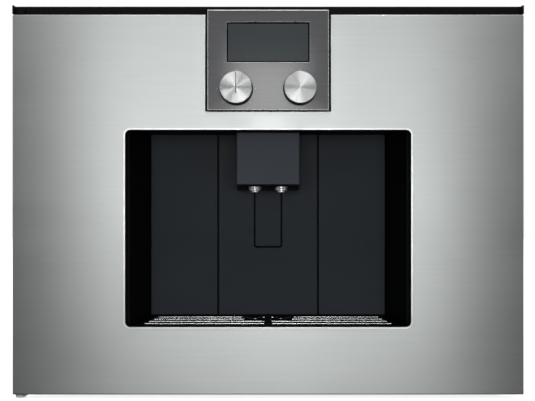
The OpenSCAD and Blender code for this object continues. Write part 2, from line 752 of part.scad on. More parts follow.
// One bar, straight or with a bend forward under each spout
module grate_bar(i) {
    y = bar_y + i * bar_pitch;
    half = grate_half(y);
    reach = reach_x;
    bend = bar_pitch * 0.8;
    bend_end = 2;
    for (s = [-1, 1]) {
        if (i < 2) rod_x(y, bar_z, bar_d / 2, min(s * half, s * spine_w / 2), max(s * half, s * spine_w / 2));
        if (i == 2) rod_x(y, bar_z, bar_d / 2, min(s * half, s * reach), max(s * half, s * reach));
        if (i == 3) pipe([[s * half, y, bar_z], [s * (reach + 2), y, bar_z],
            [s * spout_pitch / 2, y - bend, bar_z], [s * (spine_w / 2 + 4), y - bend_end, bar_z],
            [s * spine_w / 2, y - bend_end, bar_z]], bar_d / 2);
    }
}

module drip_grate() color([0.8, 0.8, 0.8]) {
    for (i = [0 : 3]) grate_bar(i);
    for (s = [-1, 1], x = [reach_x, middle_wire_x, outer_wire_x]) {
        rod_y(s * x, bar_z - bar_d + weld, bar_d / 2, bar_y - 3, bar_y + 3 * bar_pitch + 3);
    }
}
reach_x = 30;
outer_wire_x = bay_back_x - 32;
middle_wire_x = (reach_x + outer_wire_x) / 2 - 2;

// Float on its post, which shows when the tray is full
float_x = bay_back_x - 30;
float_y = tray_back_y - 24;
post_r = 3;
float_h = 30;

module tray_float() color([0.6, 0.1, 0.1]) translate([float_x, float_y, container_z + tray_t + 0.1])
    rotate_extrude() polygon([
        [post_r + 0.06, 0], [8, 0], [9, 1], [9, 12], [6, 15], [6, float_h - 1], [5, float_h], [post_r + 0.06, float_h],
    ]);

// Open box with rounded corners, a floor and a taper-free wall
module bin(x0, x1, y0, y1, z0, z1, wall, r) {
    difference() {
        slab(z0, z1) round_rect(x0, x1, y0, y1, r);
        slab(z0 + wall, z1 + 1) round_rect(x0 + wall, x1 - wall, y0 + wall, y1 - wall, r - wall / 2);
    }
}

module grounds_container() color([0.2, 0.2, 0.21]) difference() {
    bin(unit_x0, unit_x1, container_y, brew_back_y - 6, container_z, container_z + grounds_h, 2, 6);
    upright(container_y - 1, container_y + 1.2)
        round_rect(unit_x0 + 14, unit_x1 - 14, container_z + grounds_h - 26, container_z + grounds_h - 12, 5);
}

// Water tank, with an outlet at its back and a hinged lid
tank_hinge_y = tank_back_y - 6;
tank_hinge_z = tank_top_z + 4;

peg_r = 1.5;
peg_x = 22;
ear_w = 8;

module water_tank() color([0.75, 0.85, 0.9, 0.5]) difference() {
    union() {
        bin(tank_x0, tank_x1, container_y, tank_back_y, container_z, tank_top_z, tank_t, 8);
        rod_y(tank_mid_x, socket_z, nozzle_r, tank_back_y - 1, tank_back_y + nozzle_l);
        for (s = [-1, 1]) translate([tank_mid_x + s * (peg_x + ear_w / 2), 0, 0])
            sideways(-ear_w / 2, ear_w / 2) {
                translate([tank_hinge_y - 3, tank_top_z - 8]) square([9 - tank_t / 2, tank_hinge_z - tank_top_z + 8]);
                translate([tank_hinge_y, tank_hinge_z]) circle(3);
            }
    }
    rod_y(tank_mid_x, socket_z, 3, tank_back_y - 6, tank_back_y + nozzle_l + 1);
    rod_x(tank_hinge_y, tank_hinge_z, peg_r + 0.06, tank_mid_x - peg_x - ear_w - 1, tank_mid_x + peg_x + ear_w + 1);
}

module tank_lid() color([0.15, 0.15, 0.16]) {
    slab(tank_top_z + slide_gap, tank_top_z + 3)
        round_rect(tank_x0 + 0.5, tank_x1 - 0.5, container_y, tank_hinge_y - 4, 6);
    box(tank_mid_x - peg_x + 1, tank_mid_x + peg_x - 1, tank_hinge_y - 5, tank_hinge_y,
        tank_top_z + slide_gap, tank_top_z + 3);
    rod_x(tank_hinge_y, tank_hinge_z, 3, tank_mid_x - peg_x + 1, tank_mid_x + peg_x - 1);
    rod_x(tank_hinge_y, tank_hinge_z, peg_r, tank_mid_x - peg_x - ear_w, tank_mid_x + peg_x + ear_w);
    slab(tank_top_z + 2, tank_top_z + 6)
        round_rect(tank_mid_x - 18, tank_mid_x + 18, container_y + 4, container_y + 14, 3);
}

// Bean container, with a floor that slopes to the outlet
hopper_back_y = container_y + hopper_d;
hopper_top_z = hopper_z + hopper_h;

module bean_container() color([0.35, 0.35, 0.37]) {
    front = container_y + 2.5;
    back = hopper_back_y - 2.5;
    near = outlet_bore_y - 11;
    far = outlet_bore_y + 11;
    difference() {
        slab(hopper_z, hopper_top_z) round_rect(unit_x0, unit_x1, container_y, hopper_back_y, 5);
        sideways(unit_x0 + 2, unit_x1 - 2) polygon([
            [front, hopper_top_z + 1], [front, hopper_z + 34], [near, hopper_z + 5],
            [far, hopper_z + 5], [back, hopper_z + 34], [back, hopper_top_z + 1],
        ]);
        // Hollow under each slope
        sideways(unit_x0 + 2, unit_x1 - 2) {
            polygon([[front, hopper_z - 1], [near - 9, hopper_z - 1], [near - 9, hopper_z + 3.5], [front, hopper_z + 30]]);
            polygon([[back, hopper_z - 1], [far + 9, hopper_z - 1], [far + 9, hopper_z + 3.5], [back, hopper_z + 30]]);
        }
        rod_z(unit_mid_x, outlet_bore_y, 11, hopper_z - 1, hopper_z + 6);
    }
}

module bean_lid() color([0.12, 0.12, 0.13]) {
    slab(hopper_top_z, hopper_top_z + 2.5) round_rect(unit_x0, unit_x1, container_y, hopper_back_y, 5);
    slab(hopper_top_z - 4, hopper_top_z + 1) difference() {
        round_rect(unit_x0 + 2.3, unit_x1 - 2.3, container_y + 2.8, hopper_back_y - 2.8, 3);
        round_rect(unit_x0 + 4.3, unit_x1 - 4.3, container_y + 4.8, hopper_back_y - 4.8, 2);
    }
    slab(hopper_top_z + 2, hopper_top_z + 8) round_rect(unit_mid_x - 16, unit_mid_x + 16, container_y + 6, container_y + 12, 2.9);
}

// Grinder under the bean container
grinder_r = 32;
grinder_z = grinder_shelf_z - 54;
ring_z = grinder_shelf_z - 26;
ring_r = 24;
ring_h = 14;

module grinder_housing() color([0.3, 0.3, 0.32]) difference() {
    union() {
        rod_z(unit_mid_x, outlet_bore_y, grinder_r, grinder_z, grinder_shelf_z);
        box(unit_mid_x - 16, unit_mid_x + 16, outlet_bore_y, outlet_bore_y + grinder_r + 6, grinder_z, grinder_shelf_z - 12);
        slab(grinder_z, grinder_z + 26) {
            translate([unit_mid_x - 10, chamber_y]) square([20, outlet_bore_y - chamber_y]);
            translate([unit_mid_x, chamber_y]) circle(10);
        }
    }
    rod_z(unit_mid_x, outlet_bore_y, 14, ring_z + ring_h, grinder_shelf_z + 1);
    rod_z(unit_mid_x, outlet_bore_y, ring_r, grinder_z + 22, ring_z + ring_h);
    rod_z(unit_mid_x, outlet_bore_y, 4.05, grinder_z + 2, grinder_z + 30);
    slab(grinder_z + 4, grinder_z + 22.1) translate([unit_mid_x - 7, chamber_y])
        square([14, outlet_bore_y - 12 - chamber_y]);
    rod_z(unit_mid_x, chamber_y, 7, grinder_z - 1, grinder_z + 22.1);
}

module grinder_ring() color([0.6, 0.6, 0.62]) difference() {
    rod_z(unit_mid_x, outlet_bore_y, ring_r, ring_z, ring_z + ring_h);
    translate([unit_mid_x, outlet_bore_y, ring_z]) cylinder(r1 = 20.5, r2 = 13, h = ring_h);
    for (i = [0 : 5]) translate([unit_mid_x, outlet_bore_y, ring_z]) rotate(i * 60)
        translate([16, -1.2, 8]) cube([5.4, 2.4, 6.1]);
}

module grinder_cone() color([0.55, 0.55, 0.57]) difference() {
    translate([unit_mid_x, outlet_bore_y, 0]) union() {
        translate([0, 0, ring_z]) cylinder(r1 = 20, r2 = 9, h = 16);
        translate([0, 0, grinder_z + 2.5]) cylinder(r = 4, h = ring_z - grinder_z);
    }
    for (i = [0 : burr_teeth - 1]) translate([unit_mid_x, outlet_bore_y, ring_z]) rotate(i * 360 / burr_teeth)
        translate([20.6, 0, -0.5]) rotate([0, -34.5, 12]) translate([-1.8, -0.7, 0]) cube([5, 1.4, 24]);
}

motor_r = 21;

module grinder_motor() color([0.5, 0.5, 0.52]) {
    y0 = outlet_bore_y + grinder_r + 6;
    z = grinder_shelf_z - 12 - motor_r;
    rod_y(unit_mid_x, z, motor_r, y0, y0 + 58);
    rod_y(unit_mid_x, z, 7, y0 + 50, y0 + 62);
    box(unit_mid_x - 14, unit_mid_x + 14, y0 + 10, y0 + 48, z + motor_r - 6, grinder_shelf_z);
}

// Brewing unit: a cassette whose chamber runs back under the press on two rods
brew_top_z = brew_z + brew_h;
chamber_r = chamber_d / 2;
chamber_wall = 3;
chamber_y = container_y + 21 + chamber_r + chamber_wall;
press_y = chamber_y + chamber_d + 8;
guide_z = brew_z + 28;
guide_r = 3;
guide_x = unit_w / 2 - 8;
sled_z = guide_z + 7;
tube_z = sled_z + 57;
stem_r = 7;
latch_z = brew_top_z - 26;
latch_r = 11;

module brew_frame() color([0.16, 0.16, 0.17]) {
    difference() {
        union() {
            sideways(unit_x0, unit_x1) difference() {
                round_rect(container_y, brew_back_y, brew_z, brew_top_z, 6);
                round_rect(container_y + 14, brew_back_y - 8, brew_z + 8, brew_top_z - 8, 4);
            }
            rod_z(unit_mid_x, press_y, stem_r + 4, brew_top_z - 34, brew_top_z - 1);
        }
        // Funnel for the ground coffee, and the drop for the spent puck
        rod_z(unit_mid_x, chamber_y, 15, brew_top_z - 9, brew_top_z - 3);
        translate([unit_mid_x, chamber_y, brew_top_z - 4]) cylinder(r1 = 15, r2 = 20, h = 5);
        box(unit_mid_x - 18, unit_mid_x + 18, container_y + 20, brew_back_y - 40, brew_z - 1, brew_z + 9);
        rod_z(unit_mid_x, press_y, stem_r + 0.06, brew_top_z - 35, brew_top_z + 1);
        // Grip recess, seat of the latch, and socket of the drive
        upright(container_y - 1, container_y + 9)
            round_rect(unit_mid_x - 22, unit_mid_x + 22, brew_z + 30, brew_z + 80, 6);
        rod_y(unit_mid_x, latch_z, latch_r + 0.5, container_y - 1, container_y + 6);
        rod_y(unit_mid_x, latch_z, 4.06, container_y, container_y + 15);
        rod_y(unit_mid_x, brew_z + 70, 7.3, brew_back_y - 9, brew_back_y + 1);
    }
    for (s = [-1, 1]) rod_y(unit_mid_x + s * guide_x, guide_z, guide_r, container_y + 13, brew_back_y - 7);
}

module brew_chamber() color([0.75, 0.75, 0.73]) difference() {
    union() {
        rod_z(unit_mid_x, chamber_y, chamber_r + chamber_wall, guide_z - 6, tube_z);
        rod_z(unit_mid_x, chamber_y, chamber_r + chamber_wall + 1, tube_z - 6, tube_z - 3);
        slab(guide_z - 7, sled_z) round_rect(unit_mid_x - guide_x - 6, unit_mid_x + guide_x + 6,
            chamber_y - chamber_r, chamber_y + chamber_r, 4);
    }
    rod_z(unit_mid_x, chamber_y, chamber_r, sled_z + 4, tube_z + 1);
    for (s = [-1, 1]) rod_y(unit_mid_x + s * guide_x, guide_z, guide_r + 0.06, chamber_y - 40, chamber_y + 40);
}

// Press: a piston with a seal groove, on a stem through the frame's boss
module brew_press() color([0.7, 0.7, 0.72]) translate([unit_mid_x, press_y, tube_z + 3]) rotate_extrude() polygon([
    [0, 0], [chamber_r - 1.2, 0], [chamber_r - 0.2, 1], [chamber_r - 0.2, 3.5], [chamber_r - 1.7, 3.5],
    [chamber_r - 1.7, 6.5], [chamber_r - 0.2, 6.5], [chamber_r - 0.2, 9], [stem_r, 9],
    [stem_r, brew_top_z - tube_z - 4], [0, brew_top_z - tube_z - 4],
]);

// Turn latch on the cassette's front
module brew_latch() color([0.6, 0.15, 0.1]) {
    rod_y(unit_mid_x, latch_z, latch_r, container_y + 1, container_y + 5.5);
    rod_y(unit_mid_x, latch_z, 4, container_y + 4, container_y + 14);
    upright(container_y - 2, container_y + 2) round_rect(unit_mid_x - 2.5, unit_mid_x + 2.5, latch_z - 9.5, latch_z + 9.5, 2);
}

module brew_drive() color([0.4, 0.4, 0.42]) {
    y0 = brew_back_y + 3;
    shelf_z = brew_shelf_z + sheet_t;
    sideways(unit_mid_x - 30, unit_mid_x + 30) round_rect(y0, y0 + 26, shelf_z, brew_z + 100, 3);
    rod_y(unit_mid_x, brew_z + 70, 7, brew_back_y - 7, y0 + 1);
    rod_y(unit_mid_x, brew_z + 40, 18, y0 + 25, y0 + 72);
}

// Pump, heater, hoses, mains inlet and power board
hose_r = 3.5;
hose_y = carcass_y + 200;
brew_port_z = brew_z + 88;
feed_port_z = deck_z + 60;
pump_r = 24;
pump_l = 90;
pump_z = floor_z + pump_r + 17;
pump_x = -partition_x + 18;
pump_end_x = pump_x + pump_l;
pump_port_x = pump_end_x + 14;

module water_pump() color([0.7, 0.7, 0.72]) {
    rod_x(hose_y, pump_z, pump_r, pump_x, pump_end_x);
    rod_x(hose_y, pump_z, 6, pump_end_x - 1, pump_port_x);
    for (x = [pump_x + 10, pump_end_x - 20]) sideways(x - 4, x + 4) difference() {
        translate([hose_y - 18, floor_z]) square([36, pump_z - floor_z]);
        translate([hose_y, pump_z]) circle(pump_r - 1);
    }
}

// Flow heater: an aluminium block with three water ways
heater_l = 110;
heater_w = 44;
heater_h = 70;
heater_z = pump_z + pump_r;
heater_x0 = pump_end_x + 25;
heater_x1 = heater_x0 + heater_l;
water_way_r = 5;

module heater() color([0.75, 0.76, 0.78]) {
    difference() {
        sideways(heater_x0, heater_x1)
            round_rect(hose_y - heater_w / 2, hose_y + heater_w / 2, heater_z, heater_z + heater_h, 5);
        for (i = [0 : 2])
            rod_x(hose_y - 8, heater_z + heater_h * (0.2 + 0.3 * i), water_way_r, heater_x0 - 1, heater_x1 + 1);
    }
    for (x = [heater_x0 + 15, heater_x1 - 15]) box(x - 5, x + 5, hose_y + 8, hose_y + 18, floor_z, heater_z + 1);
}

module suction_hose() color([0.85, 0.85, 0.83]) {
    route = [[tank_mid_x, tank_back_y + 26, socket_z], [tank_mid_x, hose_y, socket_z],
        [pump_port_x + 26, hose_y, socket_z], [pump_port_x + 16, hose_y, pump_z], [pump_port_x, hose_y, pump_z]];
    pipe(route, hose_r);
}

module mains_inlet() color([0.08, 0.08, 0.08]) {
    difference() {
        upright(rear_y - 24, rear_y - sheet_t) round_rect(inlet_x - inlet_w / 2 - 3, inlet_x + inlet_w / 2 + 3,
            inlet_z - inlet_h / 2 - 3, inlet_z + inlet_h / 2 + 3, 2);
        upright(rear_y - 20, rear_y) round_rect(inlet_x - inlet_w / 2, inlet_x + inlet_w / 2,
            inlet_z - inlet_h / 2, inlet_z + inlet_h / 2, 2);
    }
    for (i = [-1, 0, 1]) box(inlet_x + i * 7 - 1, inlet_x + i * 7 + 1, rear_y - 21, rear_y - 6,
        inlet_z - 4 + abs(i) * 2 - 1, inlet_z + 1 - abs(i) * 0.5);
}

board_l = 110;
board_h = 140;
board_z = deck_z - 57 - board_h;

module power_board() color([0.05, 0.3, 0.15]) {
    y0 = hose_y + 30;
    y1 = y0 + board_l;
    z1 = board_z + board_h;
    box(partition_x - 6, partition_x - 4.4, y0, y1, board_z, z1);
    for (y = [y0 + 8, y1 - 8], z = [board_z + 8, z1 - 8]) rod_x(y, z, 3, partition_x - 5, partition_x);
    for (i = [0 : 2]) rod_x(y0 + 30 + i * 25, z1 - 60, 9, partition_x - 26, partition_x - 5.5);
    box(partition_x - 24, partition_x - 5.5, y0 + 20, y1 - 20, board_z + 15, board_z + 45);
}

// Door
module door_outline(inset) {
    difference() {
        round_rect(-front_x + inset, front_x - inset, door_z + inset, door_top_z - inset, 1);
        translate([-notch_x - inset, notch_z - inset]) square([2 * notch_x + 2 * inset, front_top_z]);
    }
}

module window_outline(grow) {
    round_rect(-window_w / 2 - grow, window_w / 2 + grow, window_z - grow, window_top_z + grow, window_r + grow);
}

module door_skin() color([0.72, 0.73, 0.73]) difference() {
    upright(door_y, door_back_y) door_outline(0);
    upright(door_y + skin_t, door_back_y + 1) door_outline(skin_t);
    upright(door_y - 1, door_y + skin_t + 1) window_outline(trim_w);
    rod_z(pivot_x, pivot_y, pin_r + 0.5, door_z - 1, door_top_z + 1);
}

module window_trim() color([0.92, 0.92, 0.92]) upright(door_y, door_y + skin_t) difference() {
    window_outline(trim_w);
    window_outline(0);
}

rib_t = 2;

module door_liner() color([0.05, 0.05, 0.05]) difference() {
    union() {
        upright(door_back_y - liner_t, door_back_y) difference() {
            door_outline(skin_t);
            window_outline(0);
        }
        // Collar that lines the window
        upright(door_y + skin_t, door_back_y) difference() {
            window_outline(liner_t);
            window_outline(0);
        }
        // Ribs that hold the skin
        upright(door_y + skin_t, door_back_y - liner_t / 2) difference() {
            intersection() {
                door_outline(skin_t);
                union() {
                    for (s = [-1, 1], x = [front_x - 45, front_x - 95])
                        translate([s * x - rib_t / 2, door_z]) square([rib_t, door_h]);
                    for (s = [-1, 1], x = [window_w / 2 - 25, window_w / 2 - 75], z = [door_z, window_top_z])
                        translate([s * x - rib_t / 2, z]) square([rib_t, z > window_z ? door_h : window_up]);
                    for (z = [door_z + 30, window_top_z + 12]) translate([-front_x, z]) square([front_w, rib_t]);
                }
            }
            window_outline(liner_t / 2);
        }
        for (z = [door_z + skin_t, door_top_z - skin_t - bush_h - 6])
            box(pivot_x - 6, pivot_x + 12, door_y + skin_t, door_back_y - liner_t / 2, z, z + bush_h + 6);
    }
    rod_z(pivot_x, pivot_y, bush_r, door_z, door_z + skin_t + bush_h + 0.5);
    rod_z(pivot_x, pivot_y, bush_r, door_top_z - skin_t - bush_h - 0.5, door_top_z);
    box(magnet_x - 6, magnet_x + 6, door_back_y - strike_t, door_back_y + 1, magnet_z - 22, magnet_z + 22);
}

module hinge_bushes() color("whitesmoke") {
    for (end = [[door_z + skin_t, door_z + skin_t + bush_h], [door_top_z - skin_t - bush_h, door_top_z - skin_t]])
        difference() {
            rod_z(pivot_x, pivot_y, bush_r, end[0], end[1]);
            rod_z(pivot_x, pivot_y, bush_bore_r, end[0] - 1, end[1] + 1);
        }
}

module strike_plate() color("silver") {
    box(magnet_x - 6, magnet_x + 6, door_back_y - strike_t, door_back_y, magnet_z - 22, magnet_z + 22);
}

base_pan();
feet();
side_panel_left();
side_panel_right();
rear_panel();
top_cover();
front_frame();
partitions();
mid_deck();
unit_shelves();
tray_runners();
tank_platform();
hinge_brackets();
catch_magnet();
door_buffers();
switch_housing();
power_switch();
control_housing();
control_fascia();
display_glass();
control_board();
knob_encoders();
knob_left();
knob_left_pointer();
knob_right();
bay_liner();
bay_panels_side();
bay_panel_middle();
feed_tubes();
door_skin();
door_liner();
window_trim();
hinge_bushes();
strike_plate();
outlet_cover();
outlet_body();
coffee_spouts();
drip_tray();
grate_carrier();
drip_grate();
tray_float();
grounds_container();
water_tank();
tank_lid();
bean_container();
bean_lid();
grinder_housing();
grinder_ring();
grinder_cone();
grinder_motor();
brew_frame();
brew_chamber();
brew_press();
brew_latch();
brew_drive();
water_pump();
heater();
suction_hose();
mains_inlet();
power_board();
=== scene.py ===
import json
import math

import bmesh
import bpy
from mathutils import Matrix, Vector


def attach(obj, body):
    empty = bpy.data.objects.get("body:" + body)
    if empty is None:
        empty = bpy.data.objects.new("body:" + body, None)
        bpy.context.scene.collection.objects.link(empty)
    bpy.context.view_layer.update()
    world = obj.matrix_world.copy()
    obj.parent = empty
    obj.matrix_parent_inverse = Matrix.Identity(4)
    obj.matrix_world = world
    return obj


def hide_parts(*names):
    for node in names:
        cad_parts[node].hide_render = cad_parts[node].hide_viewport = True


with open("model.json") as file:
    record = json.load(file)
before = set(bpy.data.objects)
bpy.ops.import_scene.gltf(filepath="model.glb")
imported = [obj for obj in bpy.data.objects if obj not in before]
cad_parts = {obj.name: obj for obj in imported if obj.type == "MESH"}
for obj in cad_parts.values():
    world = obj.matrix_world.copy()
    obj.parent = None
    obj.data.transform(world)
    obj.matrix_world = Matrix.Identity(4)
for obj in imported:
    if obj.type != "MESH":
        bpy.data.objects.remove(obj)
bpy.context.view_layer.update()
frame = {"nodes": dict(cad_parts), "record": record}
nodes = frame["nodes"]
MM = 0.001

# Main positions of the CAD model, in millimetres
DOOR_Y, DOOR_BACK_Y, FASCIA_Y, KNOB_Y = -178.5, -158.5, -183.5, -201.5
DOOR_TOP = 443.25
WINDOW = (-165.0, 165.0, 83.0, 310.5)
WINDOW_R, TRIM_W = 6.0, 2.2
NOTCH_X, NOTCH_Z = 72.0, 332.0
PANEL = (-69.75, 69.75, 332.5, 448.0)
PANEL_T = 3.0
DISPLAY = (-47.75, 47.75, 387.7, 433.7)
KNOB_X, KNOB_Z = 36.5, 357.3
BAY_BACK_Y, BAY_TOP, GRATE_Z = -53.5, 313.5, 83.0
BAY_PLATE_T = 3.0
COVER_X, COVER_FRONT_Y, COVER_BACK_Y = 38.8, -126.5, -54.1
COVER_LOW, COVER_TOP, COVER_T = 248.3, 408.3, 2.5
SPOUT_X, SPOUT_Y, SPOUT_Z = 16.1, -111.5, 238.7

# Lamp plane in front of the machine, in metres
LAMP_Y = -1.95


# Materials

class Shader:
    """A new material with a Principled shader, and short calls for the nodes that feed it."""

    def __init__(self, name):
        self.material = bpy.data.materials.new(name)
        self.material.use_nodes = True
        self.tree = self.material.node_tree
        self.tree.nodes.clear()
        self.out = self.add("ShaderNodeOutputMaterial")
        self.bsdf = self.add("ShaderNodeBsdfPrincipled")
        self.link(self.bsdf.outputs[0], self.out.inputs["Surface"])
        self.place = self.add("ShaderNodeTexCoord").outputs["Object"]

    def add(self, kind, **values):
        node = self.tree.nodes.new(kind)
        for key, value in values.items():
            setattr(node, key, value)
        return node

    def link(self, a, b):
        self.tree.links.new(a, b)

    def put(self, **values):
        """Sets sockets of the shader by name, with _ for a space."""
        for key, value in values.items():
            self.bsdf.inputs[key.replace("_", " ")].default_value = value
        return self

    def stretch(self, x, y, z):
        node = self.add("ShaderNodeMapping")
        node.inputs["Scale"].default_value = (x, y, z)
        self.link(self.place, node.inputs["Vector"])
        return node.outputs[0]

    def noise(self, scale, detail=3.0, roughness=0.5, vector=None, distortion=0.0):
        node = self.add("ShaderNodeTexNoise")
        node.inputs["Scale"].default_value = scale
        node.inputs["Detail"].default_value = detail
        node.inputs["Roughness"].default_value = roughness
        node.inputs["Distortion"].default_value = distortion
        self.link(vector or self.place, node.inputs["Vector"])
        return node.outputs["Fac"]

    def cells(self, scale, output="Distance"):
        node = self.add("ShaderNodeTexVoronoi")
        node.inputs["Scale"].default_value = scale
        self.link(self.place, node.inputs["Vector"])
        return node.outputs[output]

    def ramp(self, value, low, high, to_low, to_high):
        node = self.add("ShaderNodeMapRange")
        node.inputs["From Min"].default_value = low
        node.inputs["From Max"].default_value = high
        node.inputs["To Min"].default_value = to_low
        node.inputs["To Max"].default_value = to_high
        self.link(value, node.inputs["Value"])
        return node.outputs[0]

    def colours(self, value, first, second, low=0.35, high=0.65):
        node = self.add("ShaderNodeValToRGB")
        node.color_ramp.elements[0].position = low
        node.color_ramp.elements[0].color = (*first, 1)
        node.color_ramp.elements[1].position = high
        node.color_ramp.elements[1].color = (*second, 1)
        self.link(value, node.inputs[0])
        return node.outputs[0]

    def blend(self, value, first, second):
        node = self.add("ShaderNodeMix", data_type="RGBA")
        for socket, source in ((0, value), (6, first), (7, second)):
            if hasattr(source, "is_output"):
                self.link(source, node.inputs[socket])
            elif isinstance(source, (int, float)):
                node.inputs[socket].default_value = source
            else:
                node.inputs[socket].default_value = (*source, 1)
        return node.outputs[2]

    def math(self, operation, a, b=0.0):
        node = self.add("ShaderNodeMath", operation=operation)
        for i, source in enumerate((a, b)):
            if hasattr(source, "is_output"):
                self.link(source, node.inputs[i])
            else:
                node.inputs[i].default_value = source
        return node.outputs[0]

    def base(self, value):
        self.link(value, self.bsdf.inputs["Base Color"])
        return self

    def rough(self, value):
        self.link(value, self.bsdf.inputs["Roughness"])
        return self

    def bump(self, height, strength, distance=0.0002):
        node = self.add("ShaderNodeBump")
        node.inputs["Strength"].default_value = strength
        node.inputs["Distance"].default_value = distance
        self.link(height, node.inputs["Height"])
        self.link(node.outputs[0], self.bsdf.inputs["Normal"])
        return self

    def tangent(self, axis):
        node = self.add("ShaderNodeTangent", direction_type="RADIAL", axis=axis)
        self.link(node.outputs[0], self.bsdf.inputs["Tangent"])
        return self


# Stretch of the brush marks, which are long along X
BRUSH_LINES = (6, 900, 900)


def brushed(name, dark, light, roughness):
    """Steel brushed along X. Its highlight is stretched along Z on faces that look along Y."""
    s = Shader(name)
    streaks = s.noise(1.0, 4, 0.6, s.stretch(*BRUSH_LINES))
    patches = s.noise(7.0, 2, 0.5, s.stretch(1, 2.5, 2.5))
    tone = s.math("ADD", s.math("MULTIPLY", streaks, 0.5), s.math("MULTIPLY", patches, 0.5))
    s.base(s.colours(tone, dark, light, 0.35, 0.65))
    s.rough(s.ramp(tone, 0.3, 0.7, roughness - 0.03, roughness + 0.03))
    s.bump(streaks, 0.10, 0.00004)
    s.tangent("X")
    s.put(Metallic=1.0, Anisotropic=0.8)
    return s.material


def lacquered(name, dark, light, roughness):
    """Brushed metal, anodised dark, under a clear lacquer."""
    s = Shader(name)
    streaks = s.noise(1.0, 4, 0.6, s.stretch(*BRUSH_LINES))
    s.base(s.colours(streaks, dark, light))
    s.rough(s.ramp(streaks, 0.3, 0.7, roughness - 0.03, roughness + 0.03))
    s.bump(streaks, 0.10, 0.00004)
    s.tangent("X")
    s.put(Metallic=1.0, Anisotropic=0.2, Coat_Weight=1.0, Coat_Roughness=0.12, Coat_IOR=1.9)
    return s.material


def turned(name, dark, light, roughness, anisotropy):
    """Aluminium turned on a lathe, with rings round the piece's own Y axis."""
    s = Shader(name)
    flat = s.stretch(1, 0, 1)
    radius = s.add("ShaderNodeVectorMath", operation="LENGTH")
    s.link(flat, radius.inputs[0])
    rings = s.add("ShaderNodeTexNoise", noise_dimensions="1D")
    rings.inputs["Scale"].default_value = 2600.0
    rings.inputs["Detail"].default_value = 3.0
    s.link(radius.outputs["Value"], rings.inputs["W"])
    tone = s.math("ADD", s.math("MULTIPLY", rings.outputs["Fac"], 0.6), s.math("MULTIPLY", s.noise(60), 0.4))
    s.base(s.colours(tone, dark, light))
    s.rough(s.ramp(tone, 0.3, 0.7, roughness - 0.03, roughness + 0.03))
    s.bump(rings.outputs["Fac"], 0.08, 0.00003)
    s.tangent("Y")
    s.put(Metallic=1.0, Anisotropic=anisotropy, Anisotropic_Rotation=0.25)
    return s.material


def polished(name, dark, light, roughness, metallic=1.0):
    """Smooth metal with faint wipe marks."""
    s = Shader(name)
    tone = s.noise(90, 3)
    s.base(s.colours(tone, dark, light))
    s.rough(s.ramp(s.noise(400, 2), 0.3, 0.7, roughness * 0.8, roughness * 1.2))
    s.bump(s.noise(250, 2), 0.03, 0.00005)
    s.put(Metallic=metallic)
    return s.material


def moulded(name, dark, light, roughness, grain=1500, depth=0.15, specular=0.5):
    """Moulded plastic with a fine eroded grain and slight flow marks."""
    s = Shader(name)
    flow = s.noise(18, 4, 0.6, distortion=0.6)
    s.base(s.colours(flow, dark, light, 0.3, 0.7))
    fine = s.noise(grain, 3, 0.6)
    s.rough(s.ramp(s.math("ADD", s.math("MULTIPLY", fine, 0.5), s.math("MULTIPLY", flow, 0.5)),
                   0.3, 0.7, roughness - 0.06, roughness + 0.06))
    s.bump(fine, depth, 0.0001)
    s.put(Specular_IOR_Level=specular)
    return s.material


def painted(name, dark, light, roughness, depth=0.12, specular=0.5):
    """Powder paint on sheet steel: a soft orange-peel surface."""
    s = Shader(name)
    peel = s.noise(700, 2, 0.5)
    broad = s.noise(9, 3)
    s.base(s.colours(broad, dark, light, 0.3, 0.7))
    s.rough(s.ramp(peel, 0.3, 0.7, roughness - 0.05, roughness + 0.05))
    s.bump(peel, depth, 0.0001)
    s.put(Specular_IOR_Level=specular)
    return s.material


def galvanised(name):
    """Zinc-coated sheet with large soft crystals."""
    s = Shader(name)
    warped = s.noise(30, 2)
    crystals = s.cells(80, output="Color")
    grey = s.add("ShaderNodeRGBToBW")
    s.link(crystals, grey.inputs[0])
    tone = s.math("ADD", s.math("MULTIPLY", grey.outputs[0], 0.55), s.math("MULTIPLY", warped, 0.45))
    s.base(s.colours(tone, (0.44, 0.455, 0.465), (0.60, 0.615, 0.62), 0.25, 0.75))
    s.rough(s.ramp(tone, 0.2, 0.8, 0.28, 0.5))
    s.bump(s.noise(500, 3), 0.08, 0.00008)
    s.put(Metallic=1.0)
    return s.material


def bracket_paint(name):
    """Black paint on the upper hinge bracket, and bare pale zinc on the lower one."""
    s = Shader(name)
    split = s.add("ShaderNodeSeparateXYZ")
    s.link(s.place, split.inputs[0])
    lower = s.ramp(split.outputs[2], 0.20, 0.21, 1, 0)
    zinc = s.colours(s.noise(60, 3), (0.80, 0.80, 0.80), (0.88, 0.88, 0.88))
    black = s.colours(s.noise(9, 3), (0.003, 0.003, 0.003), (0.005, 0.005, 0.005))
    s.base(s.blend(lower, black, zinc))
    s.rough(s.ramp(s.noise(400, 2), 0.3, 0.7, 0.45, 0.55))
    s.bump(s.noise(500, 3), 0.08, 0.00008)
    s.put(Specular_IOR_Level=0.15)
    return s.material


